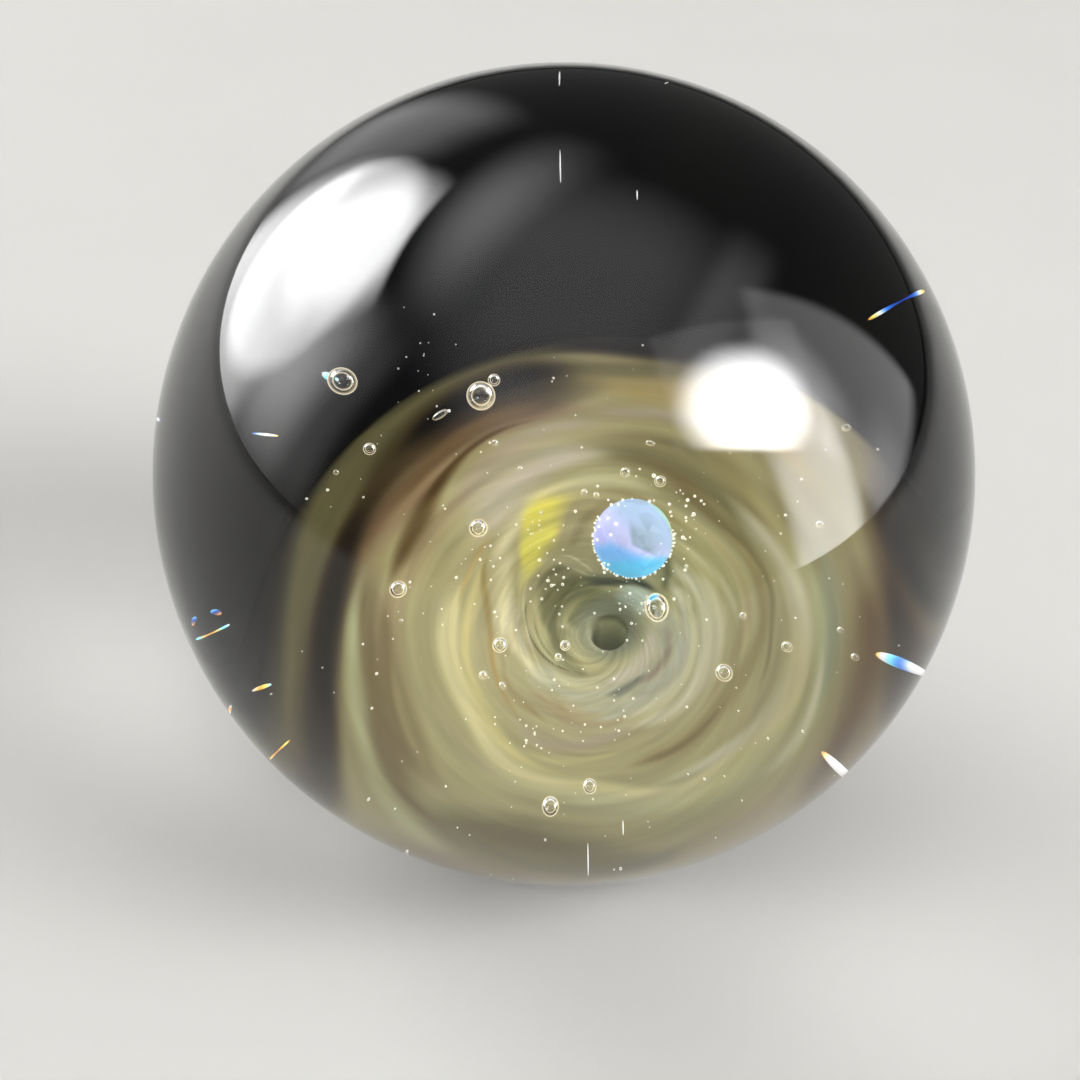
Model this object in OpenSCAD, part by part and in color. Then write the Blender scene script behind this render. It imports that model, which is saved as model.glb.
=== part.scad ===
// Glass marble, lampworked: a clear front fused to a dark back, with a twisted dish of
// colour and an opal bead sealed in the joint between them.
// Millimetres. The origin is the ball's centre, +Z is up and -Y is the front.

/* [Ball] */
// Diameter of the ball
ball_d = 40; // [34:0.5:60]

/* [Vortex] */
// Lean of the vortex's axis, from upright towards the front
vortex_lean = 35; // [0:1:90]
// Turn of the leaning axis about the upright
vortex_turn = -12; // [-180:1:180]
// Radius of the dish at its rim
dish_r = 9; // [7.5:0.1:10.5]
// Glass between the dish's rim and the ball's surface
rim_cover = 5.8; // [4.5:0.1:6.5]
// Depth of the dish, from its rim to the lip of the throat
dish_sink = 1.4; // [0.6:0.1:2]
// Thickness of the coloured glass at the rim
rim_wall = 0.9; // [0.6:0.1:1.4]
// Dark glass behind the tip of the tail
tail_cover = 2.4; // [1.5:0.1:3]
// Radius of the tail near its tip
tail_r = 0.9; // [0.7:0.05:1.3]
// Radius of the throat at its lip
throat_r = 0.55; // [0.3:0.05:0.6]
// Coloured glass between the end of the throat and the tip of the tail
throat_floor = 1.6; // [1:0.1:2.4]

/* [Streaks] */
// How deep the streaks are set into the dish
streak_depth = 0.45; // [0.3:0.05:0.6]
// Width of the broad outer brown streak
outer_streak_w = 1.15; // [0.6:0.05:1.2]
// Width of the other brown streaks
inner_streak_w = 0.75; // [0.4:0.05:0.85]
// Width of the cream streaks
cream_streak_w = 0.65; // [0.4:0.05:0.75]
// Width of the yellow patch
patch_w = 1.3; // [0.8:0.05:1.4]

/* [Opal] */
// Diameter of the opal bead
opal_d = 2.4; // [1.6:0.1:2.8]
// Distance of the bead from the vortex's axis
opal_out = 2.65; // [2:0.05:3.5]
// Direction of the bead about the vortex's axis
opal_turn = 75; // [0:1:359]
// Clear glass between the dish and the bead
opal_lift = 0.6; // [0.2:0.1:2]

/* [Bubbles] */
// Clear glass between the joint and the bubbles
bubble_lift = 0.2; // [0:0.05:0.6]

/* [Hidden] */

$fn = 96;
ball_r = ball_d / 2;

// Steps along the dish's face, its back and a streak
face_steps = 12;
back_steps = 16;
streak_step_deg = 8;

// The face flattens out towards the rim, and the back flares out of the tail
face_bend = 0.6;
flare_bend = 2.5;

// Heights along the vortex's axis, below the ball's centre. The rim lies in the joint
// between the clear front and the dark back.
rim_z = -sqrt(pow(ball_r - rim_cover, 2) - pow(dish_r, 2));
back_z = rim_z - rim_wall;
tail_z = -(ball_r - tail_cover);
throat_z = tail_z + throat_floor;

// Radius of the throat's rounded end
throat_end_r = throat_r / 2;

// Height of the dish's face at the distance r from the axis
function face_z(r) =
    rim_z - dish_sink * (1 - pow(max(0, r - throat_r) / (dish_r - throat_r), face_bend));

// Radius of the back at the share s of the way from the rim to the tip of the tail
function back_r(s) =
    (dish_r - tail_r) * pow(1 - s, flare_bend) + tail_r * sqrt(1 - s * s);

// Distance from the axis at the share s of the way from the throat's lip to the rim
function ring(s) = throat_r + (dish_r - throat_r) * s;

// Outline of the dish's face, from the rim in to the throat's lip, lowered by the amount down
function face_line(down) = [
    for (i = [0:face_steps])
        let (r = dish_r + (throat_r - dish_r) * i / face_steps)
            [r, face_z(r) - down]
];

// Outline of the throat, from its wall to the middle of its rounded end
function throat_line() = [
    for (a = [0:22.5:90])
        [throat_end_r * cos(a), throat_z + throat_end_r * (1 - sin(a))]
];

// Outline of the back, from the tip of the tail out to the rim
function back_line() = [
    for (i = [back_steps:-1:0])
        let (s = i / back_steps)
            [back_r(s), back_z + (tail_z - back_z) * s]
];

// Rounded edge of the rim, from the back round to the face
function rim_line() = [
    for (a = [-67.5:22.5:67.5])
        [dish_r + rim_wall / 2 * cos(a), rim_z - rim_wall / 2 + rim_wall / 2 * sin(a)]
];

// Bubbles as [distance from the axis, direction, diameter]
bubbles = [
    [10.5, 147, 0.75], [8.0, 129, 0.85], [8.7, 153, 0.35], [4.6, 153, 0.55],
    [5.9, 183, 0.50], [2.9, 211, 0.45], [4.4, 349, 0.50], [6.1, 273, 0.50],
    [5.4, 284, 0.40], [5.8, 5, 0.30], [4.9, 93, 0.30], [4.9, 80, 0.35],
    [2.1, 27, 0.80], [11.5, 63, 0.45], [7.8, 12, 0.50], [7.1, 347, 0.50],
    [10.1, 193, 0.40], [9.7, 185, 0.40], [8.6, 193, 0.35]
];

// Outline of all that lies behind the joint: its flat ring, the dish's face and the throat
function joint_line() = concat(
    [[ball_d, rim_z]], face_line(0), throat_line(), [[0, throat_z], [0, -ball_d], [ball_d, -ball_d]]
);

// Stands its children on the vortex's axis
module on_axis() {
    rotate([0, 0, vortex_turn])
        rotate([vortex_lean, 0, 0])
            children();
}

// The whole solid of coloured glass: a shallow dish whose back runs down into a tail
module dish_solid() {
    rotate_extrude()
        polygon(concat(face_line(0), throat_line(), [[0, throat_z]], back_line(), rim_line()));
}

module behind_joint() {
    rotate_extrude()
        polygon(joint_line());
}

// The layer under the dish's face that holds the streaks
module face_layer() {
    deep = face_line(streak_depth);
    rotate_extrude()
        polygon(concat(face_line(-streak_depth), [for (i = [face_steps:-1:0]) deep[i]]));
}

// One streak, seen along the axis: a curved band with pointed ends that runs from the
// radius r0 in the direction turn to the radius r1 after the angle sweep
module streak_outline(turn, sweep, r0, r1, width) {
    steps = round(sweep / streak_step_deg);
    function mid(i) = r0 + (r1 - r0) * i / steps;
    function half(i) = width / 2 * sqrt(sin(180 * i / steps));
    function at(r, i) = [r * cos(turn + sweep * i / steps), r * sin(turn + sweep * i / steps)];
    polygon(concat(
        [for (i = [0:steps]) at(mid(i) + half(i), i)],
        [for (i = [steps - 1:-1:1]) at(mid(i) - half(i), i)]
    ));
}

module streak(turn, sweep, r0, r1, width) {
    intersection() {
        face_layer();
        dish_solid();
        translate([0, 0, rim_z - 2 * dish_sink - streak_depth])
            linear_extrude(height = 3 * dish_sink + 2 * streak_depth)
                streak_outline(turn, sweep, r0, r1, width);
    }
}

module all_brown_streaks() {
    streak(112, 118, ring(0.85), ring(0.93), outer_streak_w);
    streak(115, 118, ring(0.69), ring(0.75), inner_streak_w);
    streak(285, 142, ring(0.54), ring(0.42), inner_streak_w);
}

module all_cream_streaks() {
    streak(140, 172, ring(0.54), ring(0.24), cream_streak_w);
    streak(238, 182, ring(0.66), ring(0.54), cream_streak_w);
}

module patch() {
    streak(125, 42, ring(0.41), ring(0.29), patch_w);
}

module opal_ball() {
    opal_r = opal_d / 2;
    rotate([0, 0, opal_turn])
        translate([opal_out, 0, face_z(opal_out) + opal_lift + opal_r])
            sphere(r = opal_r);
}

module bubble_hollows() {
    for (b = bubbles)
        rotate([0, 0, b[1]])
            translate([b[0], 0, rim_z + bubble_lift + b[2] / 2])
                sphere(d = b[2], $fn = 24);
}

// Clear front of the ball, which fills the dish and holds the opal and the bubbles
module clear_glass() {
    color([0.93, 0.96, 0.96, 0.35])
        difference() {
            sphere(r = ball_r);
            on_axis() {
                behind_joint();
                opal_ball();
                bubble_hollows();
            }
        }
}

// Dark back of the ball, round the back of the dish and its tail
module dark_back() {
    color([0.05, 0.055, 0.065])
        difference() {
            intersection() {
                sphere(r = ball_r);
                on_axis() behind_joint();
            }
            on_axis() dish_solid();
        }
}

// Sage and olive glass, twisted into a dish
module vortex() {
    color([0.60, 0.61, 0.44])
        on_axis()
            difference() {
                dish_solid();
                all_brown_streaks();
                all_cream_streaks();
                patch();
            }
}

module brown_streaks() {
    color([0.27, 0.20, 0.12]) on_axis() all_brown_streaks();
}

module cream_streaks() {
    color([0.82, 0.79, 0.60]) on_axis() all_cream_streaks();
}

module yellow_patch() {
    color([0.78, 0.75, 0.22]) on_axis() patch();
}

module opal() {
    color([0.55, 0.67, 0.92]) on_axis() opal_ball();
}

clear_glass();
dark_back();
vortex();
brown_streaks();
cream_streaks();
yellow_patch();
opal();
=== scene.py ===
"""Looks of a lampworked glass marble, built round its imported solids.

A clear front is fused to a near-black back. In the joint between them lies a shallow dish
of twisted colour with a hollow throat, an opal bead floats in front of it, and air bubbles
of many sizes are caught along the joint. Shapes are worked out in millimetres and become
objects in metres, in the row's frame: the origin is the ball's centre, +Z is up and -Y is
the front.
"""

import logging
import math
from abc import ABC, abstractmethod
from dataclasses import dataclass
from enum import Enum

import bpy
import numpy as np
from mathutils import Matrix, Quaternion, Vector


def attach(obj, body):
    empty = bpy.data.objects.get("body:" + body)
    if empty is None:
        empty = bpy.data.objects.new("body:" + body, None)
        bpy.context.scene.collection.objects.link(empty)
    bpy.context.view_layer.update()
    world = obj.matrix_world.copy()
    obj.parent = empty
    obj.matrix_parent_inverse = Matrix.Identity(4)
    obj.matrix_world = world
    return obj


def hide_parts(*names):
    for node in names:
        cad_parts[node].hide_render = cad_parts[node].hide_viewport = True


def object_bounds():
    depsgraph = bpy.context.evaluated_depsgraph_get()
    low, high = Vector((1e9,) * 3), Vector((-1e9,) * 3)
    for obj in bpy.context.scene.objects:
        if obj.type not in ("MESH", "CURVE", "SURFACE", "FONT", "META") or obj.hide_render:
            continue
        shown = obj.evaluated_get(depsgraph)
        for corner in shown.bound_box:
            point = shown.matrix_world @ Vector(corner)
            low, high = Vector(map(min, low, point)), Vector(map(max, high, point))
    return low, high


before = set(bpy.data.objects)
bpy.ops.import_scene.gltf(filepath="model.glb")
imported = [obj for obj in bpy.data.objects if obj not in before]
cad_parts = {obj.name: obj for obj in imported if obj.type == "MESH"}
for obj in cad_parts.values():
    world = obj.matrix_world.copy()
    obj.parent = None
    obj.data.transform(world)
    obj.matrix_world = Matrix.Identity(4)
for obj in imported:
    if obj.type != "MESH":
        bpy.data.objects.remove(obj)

CAD_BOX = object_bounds()
# One millimetre, in metres
MM = 0.001
# Width and height of the picture, in pixels
IMAGE_PX = 1080
# Two lengths that differ by less are the same, in millimetres
HAIR = 1e-6
# Refractive index of borosilicate glass
GLASS_BEND = 1.473
# A shader socket's white: red, green, blue and alpha
WHITE = (1.0, 1.0, 1.0, 1.0)

Pair = tuple[float, float]
Triple = tuple[float, float, float]
Array = np.ndarray
Piece = bpy.types.Object
Socket = bpy.types.NodeSocket
Reading = Socket | float
log = logging.getLogger("marble")


# ---- colour


class Colour(Enum):
    """A named colour as it is seen: red, green and blue from 0 to 255."""

    @property
    def seen(self) -> Array:
        """The colour with its parts from 0 to 1."""
        return np.array(self.value) / 255.0


class Tint(Colour):
    """Colours of the twisted glass."""

    NIGHT = (20, 17, 16)
    UMBER = (44, 33, 18)
    BARK = (76, 57, 32)
    BROWN = (106, 85, 54)
    ROSE_BROWN = (134, 111, 86)
    DRAB = (120, 108, 76)
    MOSS = (92, 88, 60)
    OLIVE = (116, 110, 78)
    KHAKI = (148, 138, 99)
    GOLD = (158, 140, 90)
    AMBER = (178, 158, 106)
    TAN = (162, 148, 112)
    SAGE = (166, 160, 120)
    GREEN_SAGE = (172, 174, 134)
    SEA_SAGE = (150, 156, 128)
    PALE_SAGE = (186, 183, 146)
    STRAW = (196, 188, 134)
    CREAM = (204, 198, 150)
    IVORY = (214, 209, 168)
    BONE = (198, 195, 165)
    LILAC = (184, 177, 158)
    ROSE_GREY = (166, 156, 132)
    MIST = (172, 175, 156)
    SLATE = (118, 121, 108)
    MAUVE = (146, 134, 118)
    MOSS_GREY = (112, 113, 82)
    DEEP_MOSS = (88, 88, 64)
    POOL = (192, 202, 186)
    # Painted shadow that the opal casts on the dish
    OPAL_SHADOW = (78, 80, 68)
    LIP = (120, 124, 104)
    # Painted paler than the glass, to offset the shade that falls deep in the throat
    THROAT_PAINTED_PALE = (188, 194, 158)
    YELLOW = (222, 216, 108)
    PALE_YELLOW = (214, 210, 136)


class Fire(Colour):
    """Colours that play in the opal."""

    LAVENDER = (194, 198, 238)
    VIOLET = (188, 192, 246)
    STEEL = (144, 163, 182)
    ICE = (156, 178, 206)
    AZURE = (108, 202, 255)
    DEEP_AZURE = (128, 188, 252)
    SEA_GREEN = (158, 210, 192)
    LEMON = (206, 222, 160)


class Glint(Colour):
    """Painted glints: the colours into which stretched bubbles at the ball's edge break light."""

    ORANGE = (250, 170, 60)
    YELLOW = (252, 228, 120)
    WHITE = (252, 252, 250)
    CYAN = (120, 220, 252)
    BLUE = (50, 120, 230)
    DEEP_BLUE = (24, 50, 150)


def light_value(seen: Array) -> Array:
    """Turns seen colours into light values.

    The rule is the usual one for screens: a straight part near black, then a power of 2.4.

    Args:
        seen: Colours from 0 to 1, as a screen shows them.

    Returns:
        The same colours as amounts of light from 0 to 1.
    """
    seen = np.clip(np.asarray(seen, dtype=float), 0.0, 1.0)
    return np.where(seen <= 0.04045, seen / 12.92, ((seen + 0.055) / 1.055) ** 2.4)


def socket_colour(seen: Triple) -> tuple[float, float, float, float]:
    """Turns a seen colour from 0 to 255 into the light values and the alpha of a socket."""
    red, green, blue = (float(part) for part in light_value(np.array(seen) / 255.0))
    return (red, green, blue, 1.0)


def laid_over(colours: Array, top: Colour, cover: Array) -> Array:
    """Lays a colour over others: each times (1 - cover), plus the top colour times cover.

    Args:
        colours: The seen colours under it, one row each.
        top: The colour on top.
        cover: How much of each row it covers, from 0 to 1.

    Returns:
        One row for each of the colours.
    """
    share = cover[:, None]
    return colours * (1 - share) + top.seen * share


# ---- curves and meshes


def eased(share: Array) -> Array:
    """Eases a share from 0 to 1 in and out: its square times (3 minus twice the share)."""
    return share * share * (3.0 - 2.0 * share)


def ramp(value: Array, start: float, end: float) -> Array:
    """A share that rises evenly from 0 at the start to 1 at the end, and is level outside."""
    return np.clip((value - start) / (end - start), 0.0, 1.0)


def smooth_curve(at: Array, knots: Array, values: Array) -> Array:
    """A smooth curve through given points, as cubic pieces whose slopes meet.

    Args:
        at: Where the curve is wanted.
        knots: Where its points lie, in rising order.
        values: The points' values.

    Returns:
        The curve's values.
    """
    slopes = np.gradient(values, knots)
    left = np.clip(np.searchsorted(knots, at, side="right") - 1, 0, len(knots) - 2)
    step = knots[left + 1] - knots[left]
    t = (at - knots[left]) / step
    rise = eased(t)
    start = values[left] * (1.0 - rise) + values[left + 1] * rise
    bend = t * (1.0 - t) * step
    return start + bend * (slopes[left] * (1.0 - t) - slopes[left + 1] * t)


def round_axis(out: Array | float, turn: Array | float, height: Array | float) -> Array:
    """Places round an upright axis: x = out cos(turn), y = out sin(turn), z = height.

    Args:
        out: Distances from the axis.
        turn: Directions about it, in radians.
        height: Heights along it.

    Returns:
        The places, with x, y and z as the last part of their shape.
    """
    x, y = out * np.cos(turn), out * np.sin(turn)
    return np.stack(np.broadcast_arrays(x, y, height), -1)


@dataclass
class Shell:
    """A triangle mesh held as whole arrays, in millimetres until it becomes an object."""

    points: Array  # One row of x, y and z for each vertex
    faces: Array  # One row of three vertex numbers for each triangle, turning outwards

    def polar(self) -> tuple[Array, Array]:
        """Each point's distance from the z axis, and its direction about it in radians."""
        x, y, _ = self.points.T
        return np.hypot(x, y), np.arctan2(y, x)

    def moved(self, turn: Array, offset: Array) -> "Shell":
        """Returns a copy turned by the 3 by 3 matrix turn and then moved by offset."""
        return Shell(self.points @ turn.T + offset, self.faces.copy())

    def flipped(self) -> "Shell":
        """Returns a copy whose faces point the other way, as the wall of a hollow does."""
        return Shell(self.points.copy(), self.faces[:, ::-1].copy())

    def joined(self, others: list["Shell"]) -> "Shell":
        """Returns one shell that holds this one and the others as separate surfaces.

        Args:
            others: The shells to add.

        Returns:
            A shell with every vertex and face, the face numbers moved up to match.
        """
        shells = [self, *others]
        starts = np.cumsum([0] + [len(shell.points) for shell in shells[:-1]])
        points = np.concatenate([shell.points for shell in shells])
        faces = np.concatenate([shell.faces + start for shell, start in zip(shells, starts)])
        return Shell(points, faces)

    def to_object(self, name: str) -> Piece:
        """Makes a smooth-shaded Blender object of the shell, in metres, at the origin.

        Args:
            name: The piece's name.

        Returns:
            The new object, linked into the scene.
        """
        mesh = bpy.data.meshes.new(name)
        mesh.vertices.add(len(self.points))
        mesh.vertices.foreach_set("co", (self.points * MM).astype(np.float32).ravel())
        mesh.loops.add(self.faces.size)
        mesh.loops.foreach_set("vertex_index", self.faces.astype(np.int32).ravel())
        mesh.polygons.add(len(self.faces))
        mesh.polygons.foreach_set("loop_start", np.arange(0, self.faces.size, 3, dtype=np.int32))
        mesh.polygons.foreach_set("use_smooth", np.ones(len(self.faces), dtype=bool))
        mesh.update(calc_edges=True)
        mesh.validate()
        piece = bpy.data.objects.new(name, mesh)
        bpy.context.scene.collection.objects.link(piece)
        return piece


def ring_faces(rings: int, around: int, first_pole: bool, last_pole: bool) -> Array:
    """Triangles between rings of equal vertex counts, closed by a pole at either end.

    Vertices are numbered ring by ring, and the poles come last: the first ring's, then the
    last ring's. Each cell between two rings gives two triangles, and each pole a fan.

    Args:
        rings: The number of rings.
        around: The number of vertices on each ring.
        first_pole: True if a pole closes the first ring.
        last_pole: True if a pole closes the last ring.

    Returns:
        One row of three vertex numbers for each triangle.
    """
    here = np.arange(around)
    after = (here + 1) % around
    low = (np.arange(rings - 1) * around)[:, None]
    a, b = low + here, low + after
    c, d = a + around, b + around
    faces = [np.stack([a, b, d], -1).reshape(-1, 3), np.stack([a, d, c], -1).reshape(-1, 3)]
    pole = rings * around
    if first_pole:
        faces.append(np.stack([np.full(around, pole), after, here], -1))
        pole += 1
    if last_pole:
        last = (rings - 1) * around
        faces.append(np.stack([np.full(around, pole), last + here, last + after], -1))
    return np.concatenate(faces)


def turned_shell(radii: Array, heights: Array, around: int) -> Shell:
    """Turns an outline about the z axis: x = r cos(t), y = r sin(t), z = height.

    The outline runs upwards on the outside, so that the faces turn outwards. An end that
    lies on the axis becomes a single pole.

    Args:
        radii: The outline's distances from the axis.
        heights: The outline's heights, one for each radius.
        around: The number of steps around the axis.

    Returns:
        The closed shell.
    """
    first_pole, last_pole = radii[0] < HAIR, radii[-1] < HAIR
    inner = slice(1 if first_pole else 0, len(radii) - 1 if last_pole else len(radii))
    angle = np.arange(around) * 2 * math.pi / around
    points = [round_axis(radii[inner, None], angle, heights[inner, None]).reshape(-1, 3)]
    if first_pole:
        points.append([[0.0, 0.0, heights[0]]])
    if last_pole:
        points.append([[0.0, 0.0, heights[-1]]])
    faces = ring_faces(len(radii[inner]), around, first_pole, last_pole)
    return Shell(np.concatenate(points), faces)


def ball_shell(radius: float, around: int, levels: int) -> Shell:
    """A ball turned from a half circle: r = R cos(latitude), z = R sin(latitude).

    Args:
        radius: The ball's radius.
        around: The number of steps around it.
        levels: The number of steps from pole to pole.

    Returns:
        The closed shell round the origin.
    """
    latitude = np.linspace(-math.pi / 2, math.pi / 2, levels + 1)
    radii = radius * np.cos(latitude)
    radii[[0, -1]] = 0.0
    return turned_shell(radii, radius * np.sin(latitude), around)


def paint(piece: Piece, name: str, colours: Array, lift: float | Array = 1.0) -> None:
    """Stores one seen colour for each vertex, as light values, in a colour attribute.

    Args:
        piece: The object whose vertices are painted.
        name: The attribute's name.
        colours: One row of red, green and blue for each vertex, from 0 to 1.
        lift: What the light values are multiplied by, up to a light value of 0.95.
    """
    layer = piece.data.color_attributes.new(name, "FLOAT_COLOR", "POINT")
    values = np.ones((len(colours), 4), dtype=np.float32)
    values[:, :3] = np.minimum(light_value(colours) * lift, 0.95)
    layer.data.foreach_set("color", values.ravel())


# ---- finishes


@dataclass(frozen=True)
class NodeDesk:
    """A node tree, with short ways to add nodes to it."""

    tree: bpy.types.NodeTree

    def add(self, kind: str, inputs: dict | None = None, **settings: object) -> bpy.types.Node:
        """Adds a node, sets its options and fills its sockets.

        Args:
            kind: The node's Blender type, without the word ShaderNode before it.
            inputs: What each socket, by its name or number, takes: a value or an output.
            **settings: Options of the node itself.

        Returns:
            The new node.
        """
        node = self.tree.nodes.new("ShaderNode" + kind)
        for name, value in settings.items():
            setattr(node, name, value)
        for socket, value in (inputs or {}).items():
            if isinstance(value, Socket):
                self.tree.links.new(value, node.inputs[socket])
            else:
                node.inputs[socket].default_value = value
        return node

    def place(self) -> Socket:
        """Adds the coordinates of the piece itself, and returns their output."""
        return self.add("TexCoord").outputs["Object"]

    def maths(self, kind: str, first: Reading, second: Reading = 0.0) -> Socket:
        """Adds a sum of the given kind, such as MULTIPLY, and returns its output."""
        return self.add("Math", {0: first, 1: second}, operation=kind).outputs[0]

    def scaled(self, colour: Socket, share: Reading) -> Socket:
        """Adds a colour's product with a share, and returns its output."""
        return self.add("VectorMath", {0: colour, "Scale": share}, operation="SCALE").outputs[0]

    def slide(self, source: Socket, start: Pair, end: Pair, soft: bool = False) -> Socket:
        """Adds a slide between two values, past which it stays level.

        Args:
            source: The output that it reads.
            start: A value of the source, and what the slide gives there.
            end: A greater value of the source, and what the slide gives there.
            soft: Whether it sets off and arrives gently.

        Returns:
            The slide's output.
        """
        inputs = {"Value": source, "From Min": start[0], "From Max": end[0]}
        inputs |= {"To Min": start[1], "To Max": end[1]}
        way = "SMOOTHSTEP" if soft else "LINEAR"
        return self.add("MapRange", inputs, interpolation_type=way).outputs[0]

    def tones(self, source: Socket, positions: Pair,
              colours: tuple[tuple[float, ...], tuple[float, ...]]) -> Socket:
        """Adds a run from one colour to another.

        Args:
            source: The output that it reads.
            positions: Where the first colour ends and where the second one starts.
            colours: The two colours, as light values with an alpha.

        Returns:
            The colour's output.
        """
        node = self.add("ValToRGB", {"Fac": source})
        for element, position, colour in zip(node.color_ramp.elements, positions, colours):
            element.position = position
            element.color = colour
        return node.outputs["Color"]


@dataclass(frozen=True)
class Finish(ABC):
    """What a piece's surface is like."""

    name: str  # The material's name

    @abstractmethod
    def shaders(self, desk: NodeDesk) -> dict[str, Socket]:
        """Adds the nodes at the desk, and returns what the material's sockets take."""

    def material(self) -> bpy.types.Material:
        """Makes the material and lays out its nodes.

        Returns:
            The new material.
        """
        material = bpy.data.materials.new(self.name)
        material.use_nodes = True
        material.node_tree.nodes.clear()
        desk = NodeDesk(material.node_tree)
        desk.add("OutputMaterial", self.shaders(desk))
        return material


@dataclass(frozen=True)
class ClearGlassFinish(Finish):
    """Clear glass with the faintest green in its depth: smooth, over an absorbing volume."""

    name: str = "clear_glass"
    depth_tint: Triple = (250, 252, 246)  # What thick glass tints white to, from 0 to 255
    depth_density: float = 10.0  # How strongly it tints, for each metre

    def shaders(self, desk: NodeDesk) -> dict[str, Socket]:
        """Adds the clear surface and the tinting volume.

        Args:
            desk: Where the nodes are added.

        Returns:
            What the material's sockets take.
        """
        inputs = {"Base Color": WHITE, "Roughness": 0.0, "IOR": GLASS_BEND}
        surface = desk.add("BsdfPrincipled", inputs | {"Transmission Weight": 1.0})
        inputs = {"Color": socket_colour(self.depth_tint), "Density": self.depth_density}
        depth = desk.add("VolumeAbsorption", inputs)
        return {"Surface": surface.outputs[0], "Volume": depth.outputs[0]}


@dataclass(frozen=True)
class BlackGlassFinish(Finish):
    """Near-black glass: two tones, mixed by noise into faint smoky streaks."""

    name: str = "black_glass"
    dark: Triple = (0.0020, 0.0022, 0.0030)  # The darker tone, as light values
    smoky: Triple = (0.0075, 0.0068, 0.0052)  # The lighter one
    mixed: Pair = (0.45, 0.75)  # The noise levels between which one gives way to the other
    scale: float = 160.0  # How fine the streaks are

    def shaders(self, desk: NodeDesk) -> dict[str, Socket]:
        """Adds the streaks and a surface that mirrors nothing.

        Args:
            desk: Where the nodes are added.

        Returns:
            What the material's sockets take.
        """
        inputs = {"Vector": desk.place(), "Scale": self.scale, "Detail": 5.0}
        streaks = desk.add("TexNoise", inputs)
        both = ((*self.dark, 1.0), (*self.smoky, 1.0))
        colour = desk.tones(streaks.outputs["Fac"], self.mixed, both)
        inputs = {"Base Color": colour, "Roughness": 0.6, "Specular IOR Level": 0.0}
        return {"Surface": desk.add("BsdfPrincipled", inputs).outputs[0]}


@dataclass(frozen=True)
class Thread:
    """One kind of fine threads in the cloudy glass."""

    shade: Triple  # What the threads multiply the red, green and blue under them by
    scale: float  # How fine they are
    start: float  # The noise level at which they begin to show
    full: float  # The noise level at which they are at their strongest
    shift: float  # Where in the noise they are taken from


@dataclass(frozen=True)
class SwirlGlassFinish(Finish):
    """Cloudy coloured glass: the painted bands, times each kind of fine threads."""

    name: str = "sage_glass"

    def threads(self) -> list[Thread]:
        """The threads: brown, cream and lilac broad ones, then dark and pale fine ones."""
        return [
            Thread((0.75, 0.71, 0.66), 1.1, 0.46, 0.80, 3.0),
            Thread((1.19, 1.18, 1.13), 1.4, 0.46, 0.80, 11.0),
            Thread((1.04, 1.02, 1.15), 1.1, 0.48, 0.78, 23.0),
            Thread((0.92, 0.91, 0.89), 3.2, 0.50, 0.80, 31.0),
            Thread((1.07, 1.07, 1.06), 4.0, 0.50, 0.80, 47.0),
        ]

    def shaders(self, desk: NodeDesk) -> dict[str, Socket]:
        """Adds the paint, the threads and a surface that mirrors nothing.

        Args:
            desk: Where the nodes are added.

        Returns:
            What the material's sockets take.
        """
        colour = desk.add("Attribute", attribute_name="swirl_colour").outputs["Color"]
        stream = desk.add("Attribute", attribute_name="swirl_stream").outputs["Vector"]
        for thread in self.threads():
            shift = (thread.shift,) * 3
            place = desk.add("VectorMath", {0: stream, 1: shift}, operation="ADD").outputs[0]
            inputs = {"Vector": place, "Scale": thread.scale, "Detail": 3.0, "Distortion": 0.7}
            noise = desk.add("TexNoise", inputs).outputs["Fac"]
            cover = desk.slide(noise, (thread.start, 0.0), (thread.full, 1.0))
            inputs = {0: cover, 6: colour, 7: (*thread.shade, 1.0)}
            blend = desk.add("Mix", inputs, data_type="RGBA", blend_type="MULTIPLY")
            colour = blend.outputs[2]
        inputs = {"Base Color": colour, "Roughness": 0.5, "Specular IOR Level": 0.0}
        return {"Surface": desk.add("BsdfPrincipled", inputs).outputs[0]}


@dataclass(frozen=True)
class BubbleFinish(Finish):
    """An air bubble's wall: clear, with a painted glow on its rim for the light it reflects."""

    # The rim's glow is painted light: emission where the wall is seen edge on
    painted_rim_colour: Triple = (1.0, 0.87, 0.64)  # The rim's colour, as light values
    painted_rim_glow: float = 0.8  # How bright the rim is
    rim_from: float = 0.3  # How slanting the wall is where the rim begins, where 1 is edge on
    rim_full: float = 0.8  # How slanting it is where the rim is at its brightest

    def shaders(self, desk: NodeDesk) -> dict[str, Socket]:
        """Adds a clear surface with a painted glow where it is seen edge on.

        Args:
            desk: Where the nodes are added.

        Returns:
            What the material's sockets take.
        """
        slant = desk.add("LayerWeight", {"Blend": 0.5}).outputs["Facing"]
        rim = desk.slide(slant, (self.rim_from, 0.0), (self.rim_full, self.painted_rim_glow), soft=True)
        inputs = {"Base Color": WHITE, "Roughness": 0.0, "IOR": GLASS_BEND}
        inputs |= {"Transmission Weight": 1.0, "Emission Strength": rim}
        inputs |= {"Emission Color": (*self.painted_rim_colour, 1.0)}
        return {"Surface": desk.add("BsdfPrincipled", inputs).outputs[0]}


class Pattern(Enum):
    """Fine patterns that break up paint: each is a kind of node and its output."""

    GRAIN = ("TexNoise", "Fac")
    CELLS = ("TexVoronoi", "Color")


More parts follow.
